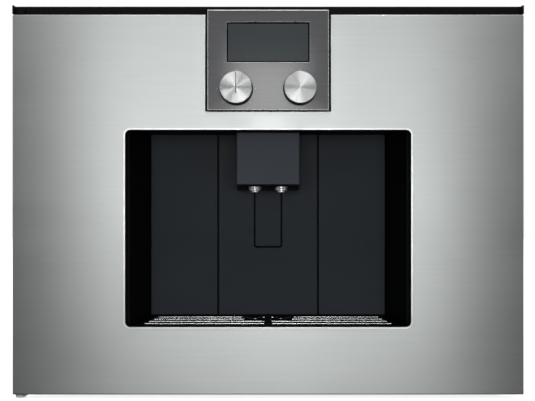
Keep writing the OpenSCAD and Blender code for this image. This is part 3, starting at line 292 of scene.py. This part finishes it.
def circuit(name):
    """Green circuit board with copper tracks under its lacquer, and pale solder points."""
    s = Shader(name)
    tracks = s.add("ShaderNodeTexBrick")
    tracks.inputs["Scale"].default_value = 140.0
    tracks.inputs["Mortar Size"].default_value = 0.035
    tracks.inputs["Color1"].default_value = (0, 0, 0, 1)
    tracks.inputs["Color2"].default_value = (0.15, 0.15, 0.15, 1)
    tracks.inputs["Mortar"].default_value = (1, 1, 1, 1)
    turn = s.add("ShaderNodeMapping")
    turn.inputs["Rotation"].default_value = (math.radians(90), 0, 0)
    s.link(s.place, turn.inputs["Vector"])
    s.link(turn.outputs[0], tracks.inputs["Vector"])
    board = s.blend(tracks.outputs["Color"], (0.008, 0.075, 0.030), (0.05, 0.19, 0.07))
    points = s.ramp(s.cells(260), 0.10, 0.16, 1, 0)
    s.base(s.blend(points, board, (0.55, 0.55, 0.52)))
    s.rough(s.ramp(points, 0, 1, 0.32, 0.22))
    s.bump(points, 0.3, 0.0002)
    return s.material


def clear_plastic(name, colour, roughness, transmission):
    """Clear moulded plastic, slightly uneven."""
    s = Shader(name)
    s.base(s.colours(s.noise(12, 2), colour, tuple(min(1, c * 1.04) for c in colour)))
    s.rough(s.ramp(s.noise(300, 2), 0.3, 0.7, roughness * 0.7, roughness * 1.3))
    s.bump(s.noise(40, 2), 0.04, 0.0003)
    s.put(Transmission_Weight=transmission, IOR=1.49)
    return s.material


def display(name, lit, rim):
    """Dark display window with a black printed border round its visible field."""
    s = Shader(name)
    split = s.add("ShaderNodeSeparateXYZ")
    s.link(s.place, split.inputs[0])
    x0, x1, z0, z1 = (v * MM for v in DISPLAY)
    rim_width = 1.7 * MM

    def depth_inside(coordinate, low, high):
        away = s.math("ABSOLUTE", s.math("SUBTRACT", coordinate, (low + high) / 2))
        return s.math("SUBTRACT", (high - low) / 2 - rim_width, away)

    side = depth_inside(split.outputs[0], x0, x1)
    rise = depth_inside(split.outputs[2], z0, z1)
    inside = s.math("GREATER_THAN", s.math("MINIMUM", side, rise), 0.0)
    field = s.colours(s.noise(25, 2), tuple(c * 0.94 for c in lit), lit)
    s.base(s.blend(inside, rim, field))
    s.rough(s.ramp(s.noise(200, 2), 0.3, 0.7, 0.10, 0.16))
    s.bump(s.noise(300, 2), 0.01, 0.00005)
    s.put(Specular_IOR_Level=0.12)
    return s.material


M = {
    "door_steel": brushed("door_steel_look", (0.655, 0.685, 0.675), (0.715, 0.745, 0.735), 0.36),
    "fascia_metal": lacquered("fascia_metal_look", (0.145, 0.146, 0.152), (0.170, 0.171, 0.178), 0.55),
    "knob_aluminium": turned("knob_aluminium_look", (0.41, 0.415, 0.42), (0.51, 0.515, 0.52), 0.24, 0.93),
    # Near-black plastic for the knobs' side walls, which paints their shade
    "knob_wall_painted_shade": moulded(
        "knob_wall_look", (0.010, 0.010, 0.011), (0.016, 0.016, 0.017), 0.5, 1500, 0.1, 0.08),
    "trim_polished": polished("trim_polished_look", (0.90, 0.91, 0.91), (0.97, 0.98, 0.98), 0.38),
    # Bright steel for rounded edges, used also as a painted highlight on the door's upward edges; dark steel
    # as painted shade on its downward edges
    "polished_edge_and_painted_highlight": polished("cut_edge_look", (0.80, 0.81, 0.82), (0.90, 0.91, 0.92), 0.3),
    "edge_shade": polished("edge_shade_look", (0.05, 0.05, 0.05), (0.08, 0.08, 0.08), 0.4),
    "chrome": polished("chrome_look", (0.86, 0.87, 0.88), (0.94, 0.95, 0.96), 0.34, 0.8),
    "steel_tube": polished("steel_wire_look", (0.70, 0.71, 0.72), (0.80, 0.81, 0.82), 0.24),
    "encoder_steel": polished("zinc_steel_look", (0.50, 0.51, 0.52), (0.62, 0.63, 0.64), 0.32),
    "burr_steel": polished("burr_steel_look", (0.42, 0.43, 0.44), (0.55, 0.56, 0.57), 0.26),
    "motor_metal": polished("motor_metal_look", (0.36, 0.37, 0.38), (0.47, 0.48, 0.49), 0.38),
    "block_aluminium": polished("cast_aluminium_look", (0.52, 0.53, 0.54), (0.66, 0.67, 0.68), 0.45),
    "sheet_steel": galvanised("sheet_steel_look"),
    "frame_black": painted(
        "frame_black_look", (0.003, 0.003, 0.003), (0.005, 0.005, 0.005), 0.5, 0.12, 0.12),
    "bay_anthracite": painted(
        "bay_anthracite_look", (0.031, 0.042, 0.054), (0.037, 0.051, 0.064), 0.45, 0.05, 0.2),
    "outlet_anthracite": painted(
        "outlet_anthracite_look", (0.044, 0.059, 0.084), (0.052, 0.069, 0.098), 0.36, 0.04, 0.22),
    "plastic_black_gloss": moulded(
        "black_gloss_look", (0.0005, 0.0005, 0.0005), (0.0009, 0.0009, 0.0009), 0.5, 900, 0.03, 0.08),
    "plastic_dark": moulded("dark_plastic_look", (0.010, 0.010, 0.011), (0.017, 0.017, 0.018), 0.48),
    "plastic_grey": moulded("grey_plastic_look", (0.050, 0.051, 0.055), (0.075, 0.076, 0.081), 0.46),
    "rubber_black": moulded(
        "rubber_look", (0.012, 0.012, 0.012), (0.022, 0.022, 0.021), 0.75, 700, 0.35, 0.3),
    "pointer_black": moulded("pointer_look", (0.004, 0.004, 0.004), (0.008, 0.008, 0.008), 0.4, 1800, 0.1),
    "nylon_white": moulded("nylon_look", (0.62, 0.61, 0.57), (0.72, 0.71, 0.67), 0.5, 1200, 0.12),
    "float_red": moulded("float_look", (0.42, 0.035, 0.03), (0.52, 0.05, 0.04), 0.4, 1200, 0.1),
    "latch_red": moulded("latch_look", (0.36, 0.03, 0.022), (0.46, 0.045, 0.03), 0.34, 1000, 0.08),
    "brew_beige": moulded("brew_chamber_look", (0.45, 0.44, 0.40), (0.56, 0.55, 0.50), 0.42, 1100, 0.12),
    "hose_silicone": moulded("silicone_look", (0.58, 0.58, 0.54), (0.70, 0.70, 0.66), 0.45, 600, 0.1),
    "circuit_green": circuit("circuit_look"),
    "display_dark": display("display_look", (0.100, 0.115, 0.125), (0.0008, 0.0008, 0.0008)),
    "tank_clear": clear_plastic("tank_look", (0.86, 0.92, 0.95), 0.06, 0.92),
    "hopper_smoke": clear_plastic("hopper_look", (0.42, 0.42, 0.44), 0.08, 0.85),
    "tray_grain": moulded(
        "tray_look", (0.006, 0.006, 0.006), (0.010, 0.010, 0.010), 0.45, 1500, 0.15, 0.3),
    "lining_black": moulded(
        "lining_look", (0.0012, 0.0012, 0.0012), (0.0020, 0.0020, 0.0020), 0.5, 1500, 0.1, 0.12),
    "screw_steel": polished("screw_look", (0.45, 0.46, 0.47), (0.58, 0.59, 0.60), 0.28),
    "print_pale": moulded("print_look", (0.30, 0.30, 0.31), (0.36, 0.36, 0.37), 0.5, 1500, 0.05),
}

# Every CAD node gets the material of its slot, and four of them a look of their own after that
for part in frame["record"]["subparts"]:
    look = M[part["material_slot"]]
    mesh = nodes[part["node"]].data
    mesh.materials.clear()
    mesh.materials.append(look)
nodes["drip_tray"].data.materials[0] = M["tray_grain"]
nodes["hinge_brackets"].data.materials[0] = bracket_paint("bracket_look")
for name in ("door_liner", "grate_carrier"):
    nodes[name].data.materials[0] = M["lining_black"]


# Shapes

def bend(cx, cz, r, start, step, count):
    """Points on an arc round a centre, from an angle in degrees on, one step apart."""
    angles = [math.radians(start + step * i) for i in range(count)]
    return [(cx + r * math.cos(a), cz + r * math.sin(a)) for a in angles]


def rounded(x0, x1, z0, z1, r, steps=8):
    """Counter-clockwise loop of a rectangle with round corners."""
    loop = []
    corners = ((x1 - r, z0 + r, -90), (x1 - r, z1 - r, 0), (x0 + r, z1 - r, 90), (x0 + r, z0 + r, 180))
    for cx, cz, start in corners:
        loop += bend(cx, cz, r, start, 90 / steps, steps + 1)
    return loop


def ring(cx, cz, r, steps):
    return bend(cx, cz, r, 0, 360 / steps, steps)


def inset(loop, distance):
    """Moves a closed loop to its left, which is inwards on a counter-clockwise loop."""
    moved = []
    for i, (px, pz) in enumerate(loop):
        ax, az = loop[i - 1]
        bx, bz = loop[(i + 1) % len(loop)]
        ex, ez, fx, fz = px - ax, pz - az, bx - px, bz - pz
        el, fl = math.hypot(ex, ez), math.hypot(fx, fz)
        nx, nz, ox, oz = -ez / el, ex / el, -fz / fl, fx / fl
        k = distance / (1 + nx * ox + nz * oz)
        moved.append((px + (nx + ox) * k, pz + (nz + oz) * k))
    return moved


def upright(u, v, d):
    """An outline in X and Z with its thickness along Y."""
    return (u * MM, d * MM, v * MM)


def level(u, v, d):
    """An outline in X and Y with its thickness along Z."""
    return (u * MM, v * MM, d * MM)


def add_plate(bm, loops, front, edge, steps=3, to=upright, close_back=True):
    """A plate with rounded front edges. Each loop is (points, back depth, back inset, its own rounding)."""
    front_edges, back_edges = [], []
    for points, back, rim, *own in loops:
        curve = own[0] if own else edge
        sign = 1 if back > front else -1
        rows = []
        if rim:
            rows.append([bm.verts.new(to(u, v, back)) for u, v in inset(points, rim)])
        rows.append([bm.verts.new(to(u, v, back)) for u, v in points])
        for k in range(steps + 1):
            t = k / steps * math.pi / 2
            drawn = inset(points, curve * (1 - math.cos(t))) if k else points
            depth = front + sign * curve * (1 - math.sin(t))
            rows.append([bm.verts.new(to(u, v, depth)) for u, v in drawn])
        count = len(points)
        for a, b in zip(rows, rows[1:]):
            for i in range(count):
                j = (i + 1) % count
                bm.faces.new((a[i], a[j], b[j], b[i]))
        front_edges += [bm.edges.get((rows[-1][i], rows[-1][(i + 1) % count])) for i in range(count)]
        back_edges += [bm.edges.get((rows[0][i], rows[0][(i + 1) % count])) for i in range(count)]
    bmesh.ops.triangle_fill(bm, use_beauty=True, edges=front_edges)
    if close_back:
        bmesh.ops.triangle_fill(bm, use_beauty=True, edges=back_edges)


def add_lathe(bm, profile, centre, steps=96, axis="Y", closed=False):
    """Turns a profile of (radius, height) round Y, to the front, or round Z, upwards."""
    cx, cy, cz = centre
    rows = []
    for r, h in profile:
        row = []
        for i in range(1 if r == 0 else steps):
            a = math.tau * i / steps
            if axis == "Y":
                place = ((cx + r * math.cos(a)) * MM, (cy - h) * MM, (cz + r * math.sin(a)) * MM)
            else:
                place = ((cx + r * math.cos(a)) * MM, (cy + r * math.sin(a)) * MM, (cz + h) * MM)
            row.append(bm.verts.new(place))
        rows.append(row)
    pairs = list(zip(rows, rows[1:]))
    if closed:
        pairs.append((rows[-1], rows[0]))
    for a, b in pairs:
        for i in range(steps):
            j = (i + 1) % steps
            corners = [a[i % len(a)], a[j % len(a)], b[j % len(b)], b[i % len(b)]]
            corners = [v for n, v in enumerate(corners) if v not in corners[:n]]
            if len(corners) > 2:
                bm.faces.new(corners)
    return rows


def piece(bm, name, body, look, sharp=40, origin=None):
    """Turns a bmesh into a smooth-shaded object that rides on a body."""
    bmesh.ops.recalc_face_normals(bm, faces=bm.faces)
    mesh = bpy.data.meshes.new(name)
    if origin:
        bmesh.ops.translate(bm, verts=bm.verts, vec=-Vector(origin))
    bm.to_mesh(mesh)
    bm.free()
    for face in mesh.polygons:
        face.use_smooth = True
    mesh.set_sharp_from_angle(angle=math.radians(sharp))
    mesh.materials.append(look)
    thing = bpy.data.objects.new(name, mesh)
    bpy.context.scene.collection.objects.link(thing)
    if origin:
        thing.location = origin
    even = thing.modifiers.new("even_normals", "WEIGHTED_NORMAL")
    even.keep_sharp = True
    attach(thing, body)
    return thing


def polish_edges(thing, look):
    """Gives the rounded front edges of an upright plate their own material."""
    mesh = thing.data
    mesh.materials.append(look)
    front = min(v.co.y for v in mesh.vertices)
    for face in mesh.polygons:
        if face.normal.y > -0.98 and face.center.y < front + 1.0 * MM:
            face.material_index = 1


def wire(name, paths, radius, body, look):
    """Round wire along lists of points, with soft bends."""
    curve = bpy.data.curves.new(name, "CURVE")
    curve.dimensions = "3D"
    curve.bevel_depth = radius * MM
    curve.bevel_resolution = 6
    curve.resolution_u = 10
    curve.use_fill_caps = True
    for points in paths:
        spline = curve.splines.new("BEZIER")
        spline.bezier_points.add(len(points) - 1)
        for knot, place in zip(spline.bezier_points, points):
            knot.co = Vector(place) * MM
        for i, knot in enumerate(spline.bezier_points):
            here = Vector(points[i])
            before = Vector(points[max(i - 1, 0)])
            after = Vector(points[min(i + 1, len(points) - 1)])
            if i in (0, len(points) - 1):
                run = (after - before) * 0.3
            else:
                reach = 0.38 * min((after - here).length, (here - before).length)
                run = (after - before).normalized() * reach
            knot.handle_left_type = knot.handle_right_type = "FREE"
            knot.handle_left, knot.handle_right = (here - run) * MM, (here + run) * MM
    thing = bpy.data.objects.new(name, curve)
    bpy.context.scene.collection.objects.link(thing)
    curve.materials.append(look)
    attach(thing, body)
    return thing


# Door

# Centres of the round corners, their radius, the skin's thickness and the rounding of its edges
CORNER_X, CORNER_LOW, CORNER_TOP, CORNER_R = 294.0, 6.15, DOOR_TOP - 1.0, 1.0
SKIN_T, SKIN_EDGE = 1.2, 1.1
outline = bend(-CORNER_X, CORNER_LOW, CORNER_R, 180, 30, 4)
outline += bend(CORNER_X, CORNER_LOW, CORNER_R, 270, 30, 4)
outline += bend(CORNER_X, CORNER_TOP, CORNER_R, 0, 30, 4)
outline += [(NOTCH_X, DOOR_TOP), (NOTCH_X, NOTCH_Z), (-NOTCH_X, NOTCH_Z), (-NOTCH_X, DOOR_TOP)]
outline += bend(-CORNER_X, CORNER_TOP, CORNER_R, 90, 30, 4)
x0, x1, z0, z1 = WINDOW
reach = TRIM_W + 0.05
window_hole = rounded(x0 - reach, x1 + reach, z0 - reach, z1 + reach, WINDOW_R + reach)[::-1]
bm = bmesh.new()
loops = [(outline, DOOR_BACK_Y, SKIN_T), (window_hole, DOOR_Y + SKIN_T, 0, 0.1)]
add_plate(bm, loops, DOOR_Y, SKIN_EDGE, 6, close_back=False)
skin = piece(bm, "door_steel_shell", "door", M["door_steel"])
# Painted highlight and painted shade: edges that face up get a brighter steel, and the ones that face down a
# dark steel
skin.data.materials.append(M["polished_edge_and_painted_highlight"])
skin.data.materials.append(M["edge_shade"])
for face in skin.data.polygons:
    front = face.center.y < (DOOR_Y + SKIN_EDGE) * MM
    if front and face.normal.z > 0.2 and face.center.z > 0.33:
        face.material_index = 1
    if face.center.z < 7 * MM and face.normal.z < -0.1:
        face.material_index = 2
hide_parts("door_skin")

bm = bmesh.new()
outer = rounded(x0 - TRIM_W, x1 + TRIM_W, z0 - TRIM_W, z1 + TRIM_W, WINDOW_R + TRIM_W)
inner = rounded(x0, x1, z0, z1, WINDOW_R)[::-1]
add_plate(bm, [(outer, DOOR_Y + SKIN_T, 0, 0.1), (inner, DOOR_Y + SKIN_T, 0)], DOOR_Y, 0.25, 3)
trim = piece(bm, "window_trim_ring", "door", M["trim_polished"])
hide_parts("window_trim")

# Control panel

bm = bmesh.new()
face = rounded(*PANEL, 0.9, 4)
glass_hole = rounded(*DISPLAY, 0.6, 4)[::-1]
panel_back = FASCIA_Y + PANEL_T
shaft_holes = [(ring(s * KNOB_X, KNOB_Z, 4, 48)[::-1], panel_back, 0, 0.3) for s in (-1, 1)]
holes = [(glass_hole, panel_back, 0, 0.3)] + shaft_holes
add_plate(bm, [(face, panel_back, 0)] + holes, FASCIA_Y, 0.9)
fascia = piece(bm, "control_fascia_plate", "cabinet", M["fascia_metal"])
polish_edges(fascia, M["polished_edge_and_painted_highlight"])
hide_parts("control_fascia")

bm = bmesh.new()
x0, x1, z0, z1 = DISPLAY
gap = 0.1
pane = rounded(x0 + gap, x1 - gap, z0 + gap, z1 - gap, 0.6, 4)
add_plate(bm, [(pane, FASCIA_Y + 8, 0)], FASCIA_Y + 0.8, 0.3)
glass = piece(bm, "display_window", "cabinet", M["display_dark"])
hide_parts("display_glass")

# Printed dots for the left knob's positions and one over the right knob
bm = bmesh.new()
DOT_R, DOT_CIRCLE_R = 0.55, 22.3
marks = [(-KNOB_X, KNOB_Z, a) for a in range(-135, 136, 45)] + [(KNOB_X, KNOB_Z, 0)]
for cx, cz, a in marks:
    px = cx + DOT_CIRCLE_R * math.sin(math.radians(a))
    pz = cz + DOT_CIRCLE_R * math.cos(math.radians(a))
    add_plate(bm, [(ring(px, pz, DOT_R, 20), FASCIA_Y + 0.05, 0)], FASCIA_Y - 0.03, 0.03, 2)
piece(bm, "printed_dots", "cabinet", M["print_pale"])

# Knobs: a hollow cap with a rounded front edge, on a shaft
cap = [(0, 13), (16.5, 13), (16.5, 1.1), (16.8, 0.8), (18.2, 0.8), (18.5, 1.1), (18.5, 17.1)]
cap += bend(17.6, 17.1, 0.9, 15, 15, 5) + [(17.6, 18.0)]
shaft = [(0, -11), (2.7, -11), (3, -10.7), (3, 13)]
for side, name in ((-1, "left"), (1, "right")):
    bm = bmesh.new()
    rows = add_lathe(bm, cap, (side * KNOB_X, FASCIA_Y, KNOB_Z), 128)
    rim = rows[-1]
    face_edges = [bm.edges.get((rim[i], rim[(i + 1) % len(rim)])) for i in range(len(rim))]
    if side < 0:
        # Groove of the pointer, which the black CAD pointer fills
        half, low_z, top_z, depth = 0.45, 350.8, 374.3, 0.5
        left, right = -KNOB_X - half, -KNOB_X + half
        groove = [(left, low_z), (right, low_z), (right, top_z), (left, top_z)]
        top = [bm.verts.new(upright(u, v, KNOB_Y)) for u, v in groove]
        low = [bm.verts.new(upright(u, v, KNOB_Y + depth)) for u, v in groove]
        for i in range(4):
            j = (i + 1) % 4
            bm.faces.new((top[i], top[j], low[j], low[i]))
            face_edges.append(bm.edges.get((top[i], top[j])))
    bmesh.ops.triangle_fill(bm, use_beauty=True, edges=face_edges)
    add_lathe(bm, shaft, (side * KNOB_X, FASCIA_Y, KNOB_Z), 48)
    knob = piece(bm, "turned_knob_" + name, "dial_" + name, M["knob_aluminium"],
                 origin=(side * KNOB_X * MM, FASCIA_Y * MM, KNOB_Z * MM))
    # Painted shade: the knobs' side walls get a near-black plastic look in place of aluminium
    knob.data.materials.append(M["knob_wall_painted_shade"])
    for wall in knob.data.polygons:
        if abs(wall.normal.y) < 0.1 and math.hypot(wall.center.x, wall.center.z) > 18 * MM:
            wall.material_index = 1
    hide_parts("knob_" + name)

# Painted shadow: black rings between the knobs and the panel darken the panel round each knob's foot
bm = bmesh.new()
shadow_ring = [(4.5, 0.0), (19.0, 0.0), (19.3, 0.15), (19.3, 0.4), (19.0, 0.55), (4.5, 0.55)]
for side in (-1, 1):
    add_lathe(bm, shadow_ring, (side * KNOB_X, FASCIA_Y, KNOB_Z), 96, closed=True)
piece(bm, "knob_shadow_rings", "cabinet", M["plastic_black_gloss"])

# Cup bay

def bay_half(y):
    """Half the bay's width at a depth. Its walls draw in by 13 mm over 99 mm."""
    return 163 - 13 * (y + 152.5) / 99


plate_back = BAY_BACK_Y + BAY_PLATE_T
for side, name in ((-1, "left"), (1, "right")):
    bm = bmesh.new()
    near, far = 64.8, bay_half(plate_back)
    span = (near, far) if side > 0 else (-far, -near)
    add_plate(bm, [(rounded(*span, GRATE_Z, BAY_TOP, 0.3, 2), plate_back, 0)], BAY_BACK_Y, 0.5, 4)
    panel = piece(bm, "bay_side_plate_" + name, "cabinet", M["bay_anthracite"])
    if side > 0:
        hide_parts("bay_panels_side")

# Middle plate with the outlet's guide channel, and the channel's floor behind it
MIDDLE_X, CHANNEL_X, CHANNEL_R, CHANNEL_Z = 62.8, 18.0, 3.0, 171.5
corner_x = CHANNEL_X - CHANNEL_R
channel = [(CHANNEL_X, BAY_TOP)]
channel += bend(corner_x, CHANNEL_Z, CHANNEL_R, 0, -15, 7)
channel += bend(-corner_x, CHANNEL_Z, CHANNEL_R, -90, -15, 7)
channel += [(-CHANNEL_X, BAY_TOP)]
middle = [(-MIDDLE_X, GRATE_Z), (MIDDLE_X, GRATE_Z), (MIDDLE_X, BAY_TOP)] + channel + [(-MIDDLE_X, BAY_TOP)]
channel_floor = rounded(-16.2, 16.2, 170.6, BAY_TOP, 2, 4)
bm = bmesh.new()
add_plate(bm, [(middle, plate_back, 0)], BAY_BACK_Y, 0.5, 4)
add_plate(bm, [(channel_floor, plate_back, 0)], BAY_BACK_Y + 1.9, 0.4, 4)
panel = piece(bm, "bay_middle_plate", "cabinet", M["bay_anthracite"])
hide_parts("bay_panel_middle")

# Outlet

def cover_plan(drawn):
    """The cover's open U from above, drawn inwards by a distance, or outwards by a negative one."""
    x, r = COVER_X - drawn, max(2 - drawn, 0.8)
    y = COVER_FRONT_Y + drawn + r
    left = [(-x, COVER_BACK_Y), (-x, y)] + bend(-x + r, y, r, 195, 15, 6)
    return left + bend(x - r, y, r, 270, 15, 7) + [(x, COVER_BACK_Y)]


bm = bmesh.new()
wall = cover_plan(0) + cover_plan(COVER_T)[::-1]
add_plate(bm, [(wall, COVER_TOP, 0)], COVER_LOW, 0.7, 4, level)
cover = piece(bm, "outlet_cover_shell", "outlet", M["outlet_anthracite"])
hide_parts("outlet_cover")

# Painted shade: a thin black collar round the cover where it goes through the bay's ceiling darkens the top
# of the cover
bm = bmesh.new()
shade_collar = cover_plan(-2.4) + cover_plan(-0.6)[::-1]
add_plate(bm, [(shade_collar, BAY_TOP, 0)], BAY_TOP - 2.9, 0.4, 3, level)
piece(bm, "ceiling_shade_collar", "cabinet", M["plastic_black_gloss"])

spout = [(2.3, 0.0), (4.2, 0.0), (4.6, 0.15), (4.85, 0.5), (4.9, 1.0), (4.9, 2.2), (7.3, 2.2), (7.7, 2.35),
         (7.9, 2.75), (7.9, 4.2), (7.75, 4.55), (7.4, 4.8), (7.4, 5.0), (7.75, 5.25), (7.9, 5.6), (7.9, 7.0),
         (7.75, 7.4), (7.4, 7.6), (5.5, 7.6), (5.5, 11.1), (2.3, 11.1)]
bm = bmesh.new()
for side in (-1, 1):
    add_lathe(bm, spout, (side * SPOUT_X, SPOUT_Y, SPOUT_Z), 72, "Z", closed=True)
spouts = piece(bm, "chrome_spouts", "outlet", M["chrome"], 50)
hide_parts("coffee_spouts")

# Drip grate

BAR_R, BAR_Z, BAR_Y, BAR_PITCH, CROSS_Z = 0.9, 82.1, -140.5, 22, 80.0
# The last bar bends forward before it meets the spine: distance from the middle, and way forward
BENT_END = [(33, 0), (28, 3.2), (18.6, 15.5), (16.1, 17.4), (13.6, 15.6), (9.6, 4.4), (7.2, 2.2), (4.5, 2)]
bars = []
for i, ends in enumerate(([(4.5, 0)], [(4.5, 0)], [(30, 0)], BENT_END)):
    y = BAR_Y + BAR_PITCH * i
    bar = [(bay_half(y) - 14.5, 0)] + ends
    for s in (-1, 1):
        bars.append([(s * x, y - forward, BAR_Z) for x, forward in bar])
grate = wire("grate_bars", bars, BAR_R, "grate", M["steel_tube"])
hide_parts("drip_grate")
cross = []
for s in (-1, 1):
    for x in (30, 72, 118):
        cross.append([(s * x, BAR_Y - 3, CROSS_Z), (s * x, BAR_Y + 3 * BAR_PITCH + 3, CROSS_Z)])
wire("grate_cross_wires", cross, BAR_R, "grate", M["steel_tube"])

# Screws

def screw(bm, place, normal, r=3.6, h=1.6):
    """Pan head with a cross recess, its base at place and its axis along normal."""
    n = Vector(normal)
    turn = Vector((0, 0, 1)).rotation_difference(n).to_matrix().to_4x4()
    head = bmesh.new()
    profile = [(r, 0), (r, h * 0.35), (r * 0.93, h * 0.7), (r * 0.72, h * 0.93), (r * 0.5, h)]
    rows = add_lathe(head, profile, (0, 0, 0), 32, "Z")
    arm, half = r * 0.42, r * 0.09
    quarter = [(arm, -half), (arm, half), (half, half)]
    cross_loop = []
    for _ in range(4):
        cross_loop += quarter
        quarter = [(-v, u) for u, v in quarter]
    top = [head.verts.new((u * MM, v * MM, h * MM)) for u, v in cross_loop]
    low = [head.verts.new((u * 0.6 * MM, v * 0.6 * MM, (h - 1.0) * MM)) for u, v in cross_loop]
    edges = [head.edges.get((rows[-1][i], rows[-1][(i + 1) % 32])) for i in range(32)]
    for i in range(12):
        j = (i + 1) % 12
        head.faces.new((top[i], top[j], low[j], low[i]))
        edges.append(head.edges.get((top[i], top[j])))
    head.faces.new(low)
    bmesh.ops.triangle_fill(head, use_beauty=True, edges=edges)
    bmesh.ops.transform(head, matrix=Matrix.Translation(Vector(place) * MM) @ turn, verts=head.verts)
    scrap = bpy.data.meshes.new("scrap")
    head.to_mesh(scrap)
    head.free()
    bm.from_mesh(scrap)
    bpy.data.meshes.remove(scrap)


bm = bmesh.new()
for s in (-1, 1):
    for y in (-140, 0, 140, 190):
        for z in (14, 434):
            screw(bm, (s * 278, y, z), (s, 0, 0))
    for z in (60, 390):
        screw(bm, (s * 286.5, -155.5, z), (0, -1, 0), 4.2, 1.8)
for x in (-262, -90, 90, 262):
    for y in (-140, 190):
        screw(bm, (x, y, 448.5), (0, 0, 1))
piece(bm, "body_screws", "cabinet", M["screw_steel"])

# Floor, light and camera

s = Shader("floor_look")
s.base(s.colours(s.noise(3, 3), (0.86, 0.86, 0.86), (0.90, 0.90, 0.90)))
s.rough(s.ramp(s.noise(60, 3), 0.3, 0.7, 0.75, 0.85))
s.bump(s.noise(400, 2), 0.04, 0.0002)
s.put(Emission_Color=(1, 1, 1, 1), Emission_Strength=0.85)
floor_mesh = bpy.data.meshes.new("pale_floor")
bm = bmesh.new()
bmesh.ops.create_grid(bm, x_segments=8, y_segments=8, size=1.0)
bmesh.ops.scale(bm, vec=(4.0, 4.0, 1.0), verts=bm.verts)
bm.to_mesh(floor_mesh)
bm.free()
floor_mesh.materials.append(s.material)
floor = bpy.data.objects.new("pale_floor", floor_mesh)
bpy.context.scene.collection.objects.link(floor)
floor.location = (0, 0.6, 0)
floor.visible_glossy = False
floor.visible_diffuse = False


def softbox(name, place, target, width, height, power):
    light = bpy.data.lights.new(name, "AREA")
    light.shape = "RECTANGLE"
    light.size, light.size_y = width, height
    light.energy = power
    thing = bpy.data.objects.new(name, light)
    bpy.context.scene.collection.objects.link(thing)
    thing.location = place
    thing.rotation_euler = (Vector(target) - Vector(place)).to_track_quat("-Z", "Y").to_euler()
    thing.visible_camera = False
    return thing


# Small lamps in front, whose mirror images make the bands of light on the door
softbox("softbox_centre", (0, LAMP_Y, 0.335), (0, 0, 0.335), 0.24, 0.21, 1.21)
softbox("softbox_panel", (0, LAMP_Y, 0.575), (0, 0, 0.575), 0.21, 0.19, 0.36)
softbox("softbox_low_left", (-0.21, LAMP_Y, 0.135), (-0.21, 0, 0.135), 0.18, 0.23, 0.72)
softbox("softbox_low_right", (0.275, LAMP_Y, 0.135), (0.275, 0, 0.135), 0.55, 0.23, 1.71)
softbox("softbox_left", (-0.425, LAMP_Y, 0.345), (-0.425, 0, 0.345), 0.25, 0.25, 1.37)
softbox("softbox_right", (0.425, LAMP_Y, 0.345), (0.425, 0, 0.345), 0.25, 0.25, 0.69)
softbox("softbox_high_left", (-0.575, LAMP_Y, 1.0), (-0.575, 0, 1.0), 0.55, 0.40, 0.64)
softbox("softbox_high_right", (0.575, LAMP_Y, 1.0), (0.575, 0, 1.0), 0.55, 0.40, 0.66)
# Lamps above and behind
softbox("softbox_top", (0, -1.25, 1.9), (0, -0.1, 0.1), 0.5, 0.5, 5)
softbox("softbox_back_left", (-2.2, 1.9, 1.4), (0, 0, 0.2), 1.6, 1.6, 20)
softbox("softbox_back_right", (2.2, 1.9, 1.4), (0, 0, 0.2), 1.6, 1.6, 20)

world = bpy.data.worlds.new("studio")
bpy.context.scene.world = world
world.use_nodes = True
tree = world.node_tree
tree.nodes.clear()
seen = tree.nodes.new("ShaderNodeBackground")
seen.inputs["Color"].default_value = (1, 1, 1, 1)
seen.inputs["Strength"].default_value = 1.0
fill = tree.nodes.new("ShaderNodeBackground")
fill.inputs["Color"].default_value = (1, 1, 1, 1)
heading = tree.nodes.new("ShaderNodeTexCoord")
axes = tree.nodes.new("ShaderNodeSeparateXYZ")
tree.links.new(heading.outputs["Generated"], axes.inputs[0])


def fade(axis, low, high, to_low, to_high):
    """A smooth step over one axis of the direction."""
    node = tree.nodes.new("ShaderNodeMapRange")
    node.interpolation_type = "SMOOTHSTEP"
    node.inputs["From Min"].default_value = low
    node.inputs["From Max"].default_value = high
    node.inputs["To Min"].default_value = to_low
    node.inputs["To Max"].default_value = to_high
    tree.links.new(axes.outputs[axis], node.inputs["Value"])
    return node.outputs[0]


def combine(operation, a, b):
    node = tree.nodes.new("ShaderNodeMath")
    node.operation = operation
    tree.links.new(a, node.inputs[0])
    tree.links.new(b, node.inputs[1])
    return node.outputs[0]


# The studio's fill is brightest above, soft behind and at both sides, and dark in front and below
behind = combine("MULTIPLY", fade("Y", -0.3, 0.12, 0.004, 0.5), fade("Z", -0.3, 0.0, 0.02, 1.0))
above = combine("MULTIPLY", fade("Z", 0.55, 0.9, 0.0, 1.0), fade("Y", -0.4, 0.1, 0.8, 0.25))
beside = combine("ADD", fade("X", 0.5, 0.8, 0.0, 0.5), fade("X", -0.8, -0.5, 0.5, 0.0))
tree.links.new(combine("ADD", combine("ADD", behind, above), beside), fill.inputs["Strength"])
path = tree.nodes.new("ShaderNodeLightPath")
join = tree.nodes.new("ShaderNodeMixShader")
end = tree.nodes.new("ShaderNodeOutputWorld")
tree.links.new(path.outputs["Is Camera Ray"], join.inputs[0])
tree.links.new(fill.outputs[0], join.inputs[1])
tree.links.new(seen.outputs[0], join.inputs[2])
tree.links.new(join.outputs[0], end.inputs["Surface"])

camera = bpy.data.cameras.new("photo_camera")
camera.lens = 65.67
camera.sensor_width = 36.0
camera.clip_start = 0.01
viewer = bpy.data.objects.new("photo_camera", camera)
bpy.context.scene.collection.objects.link(viewer)
viewer.location = (-0.0007, -1.3035, 0.2290)
viewer.rotation_euler = (math.radians(90), 0, 0)
bpy.context.scene.camera = viewer
bpy.context.scene.view_settings.view_transform = "Standard"
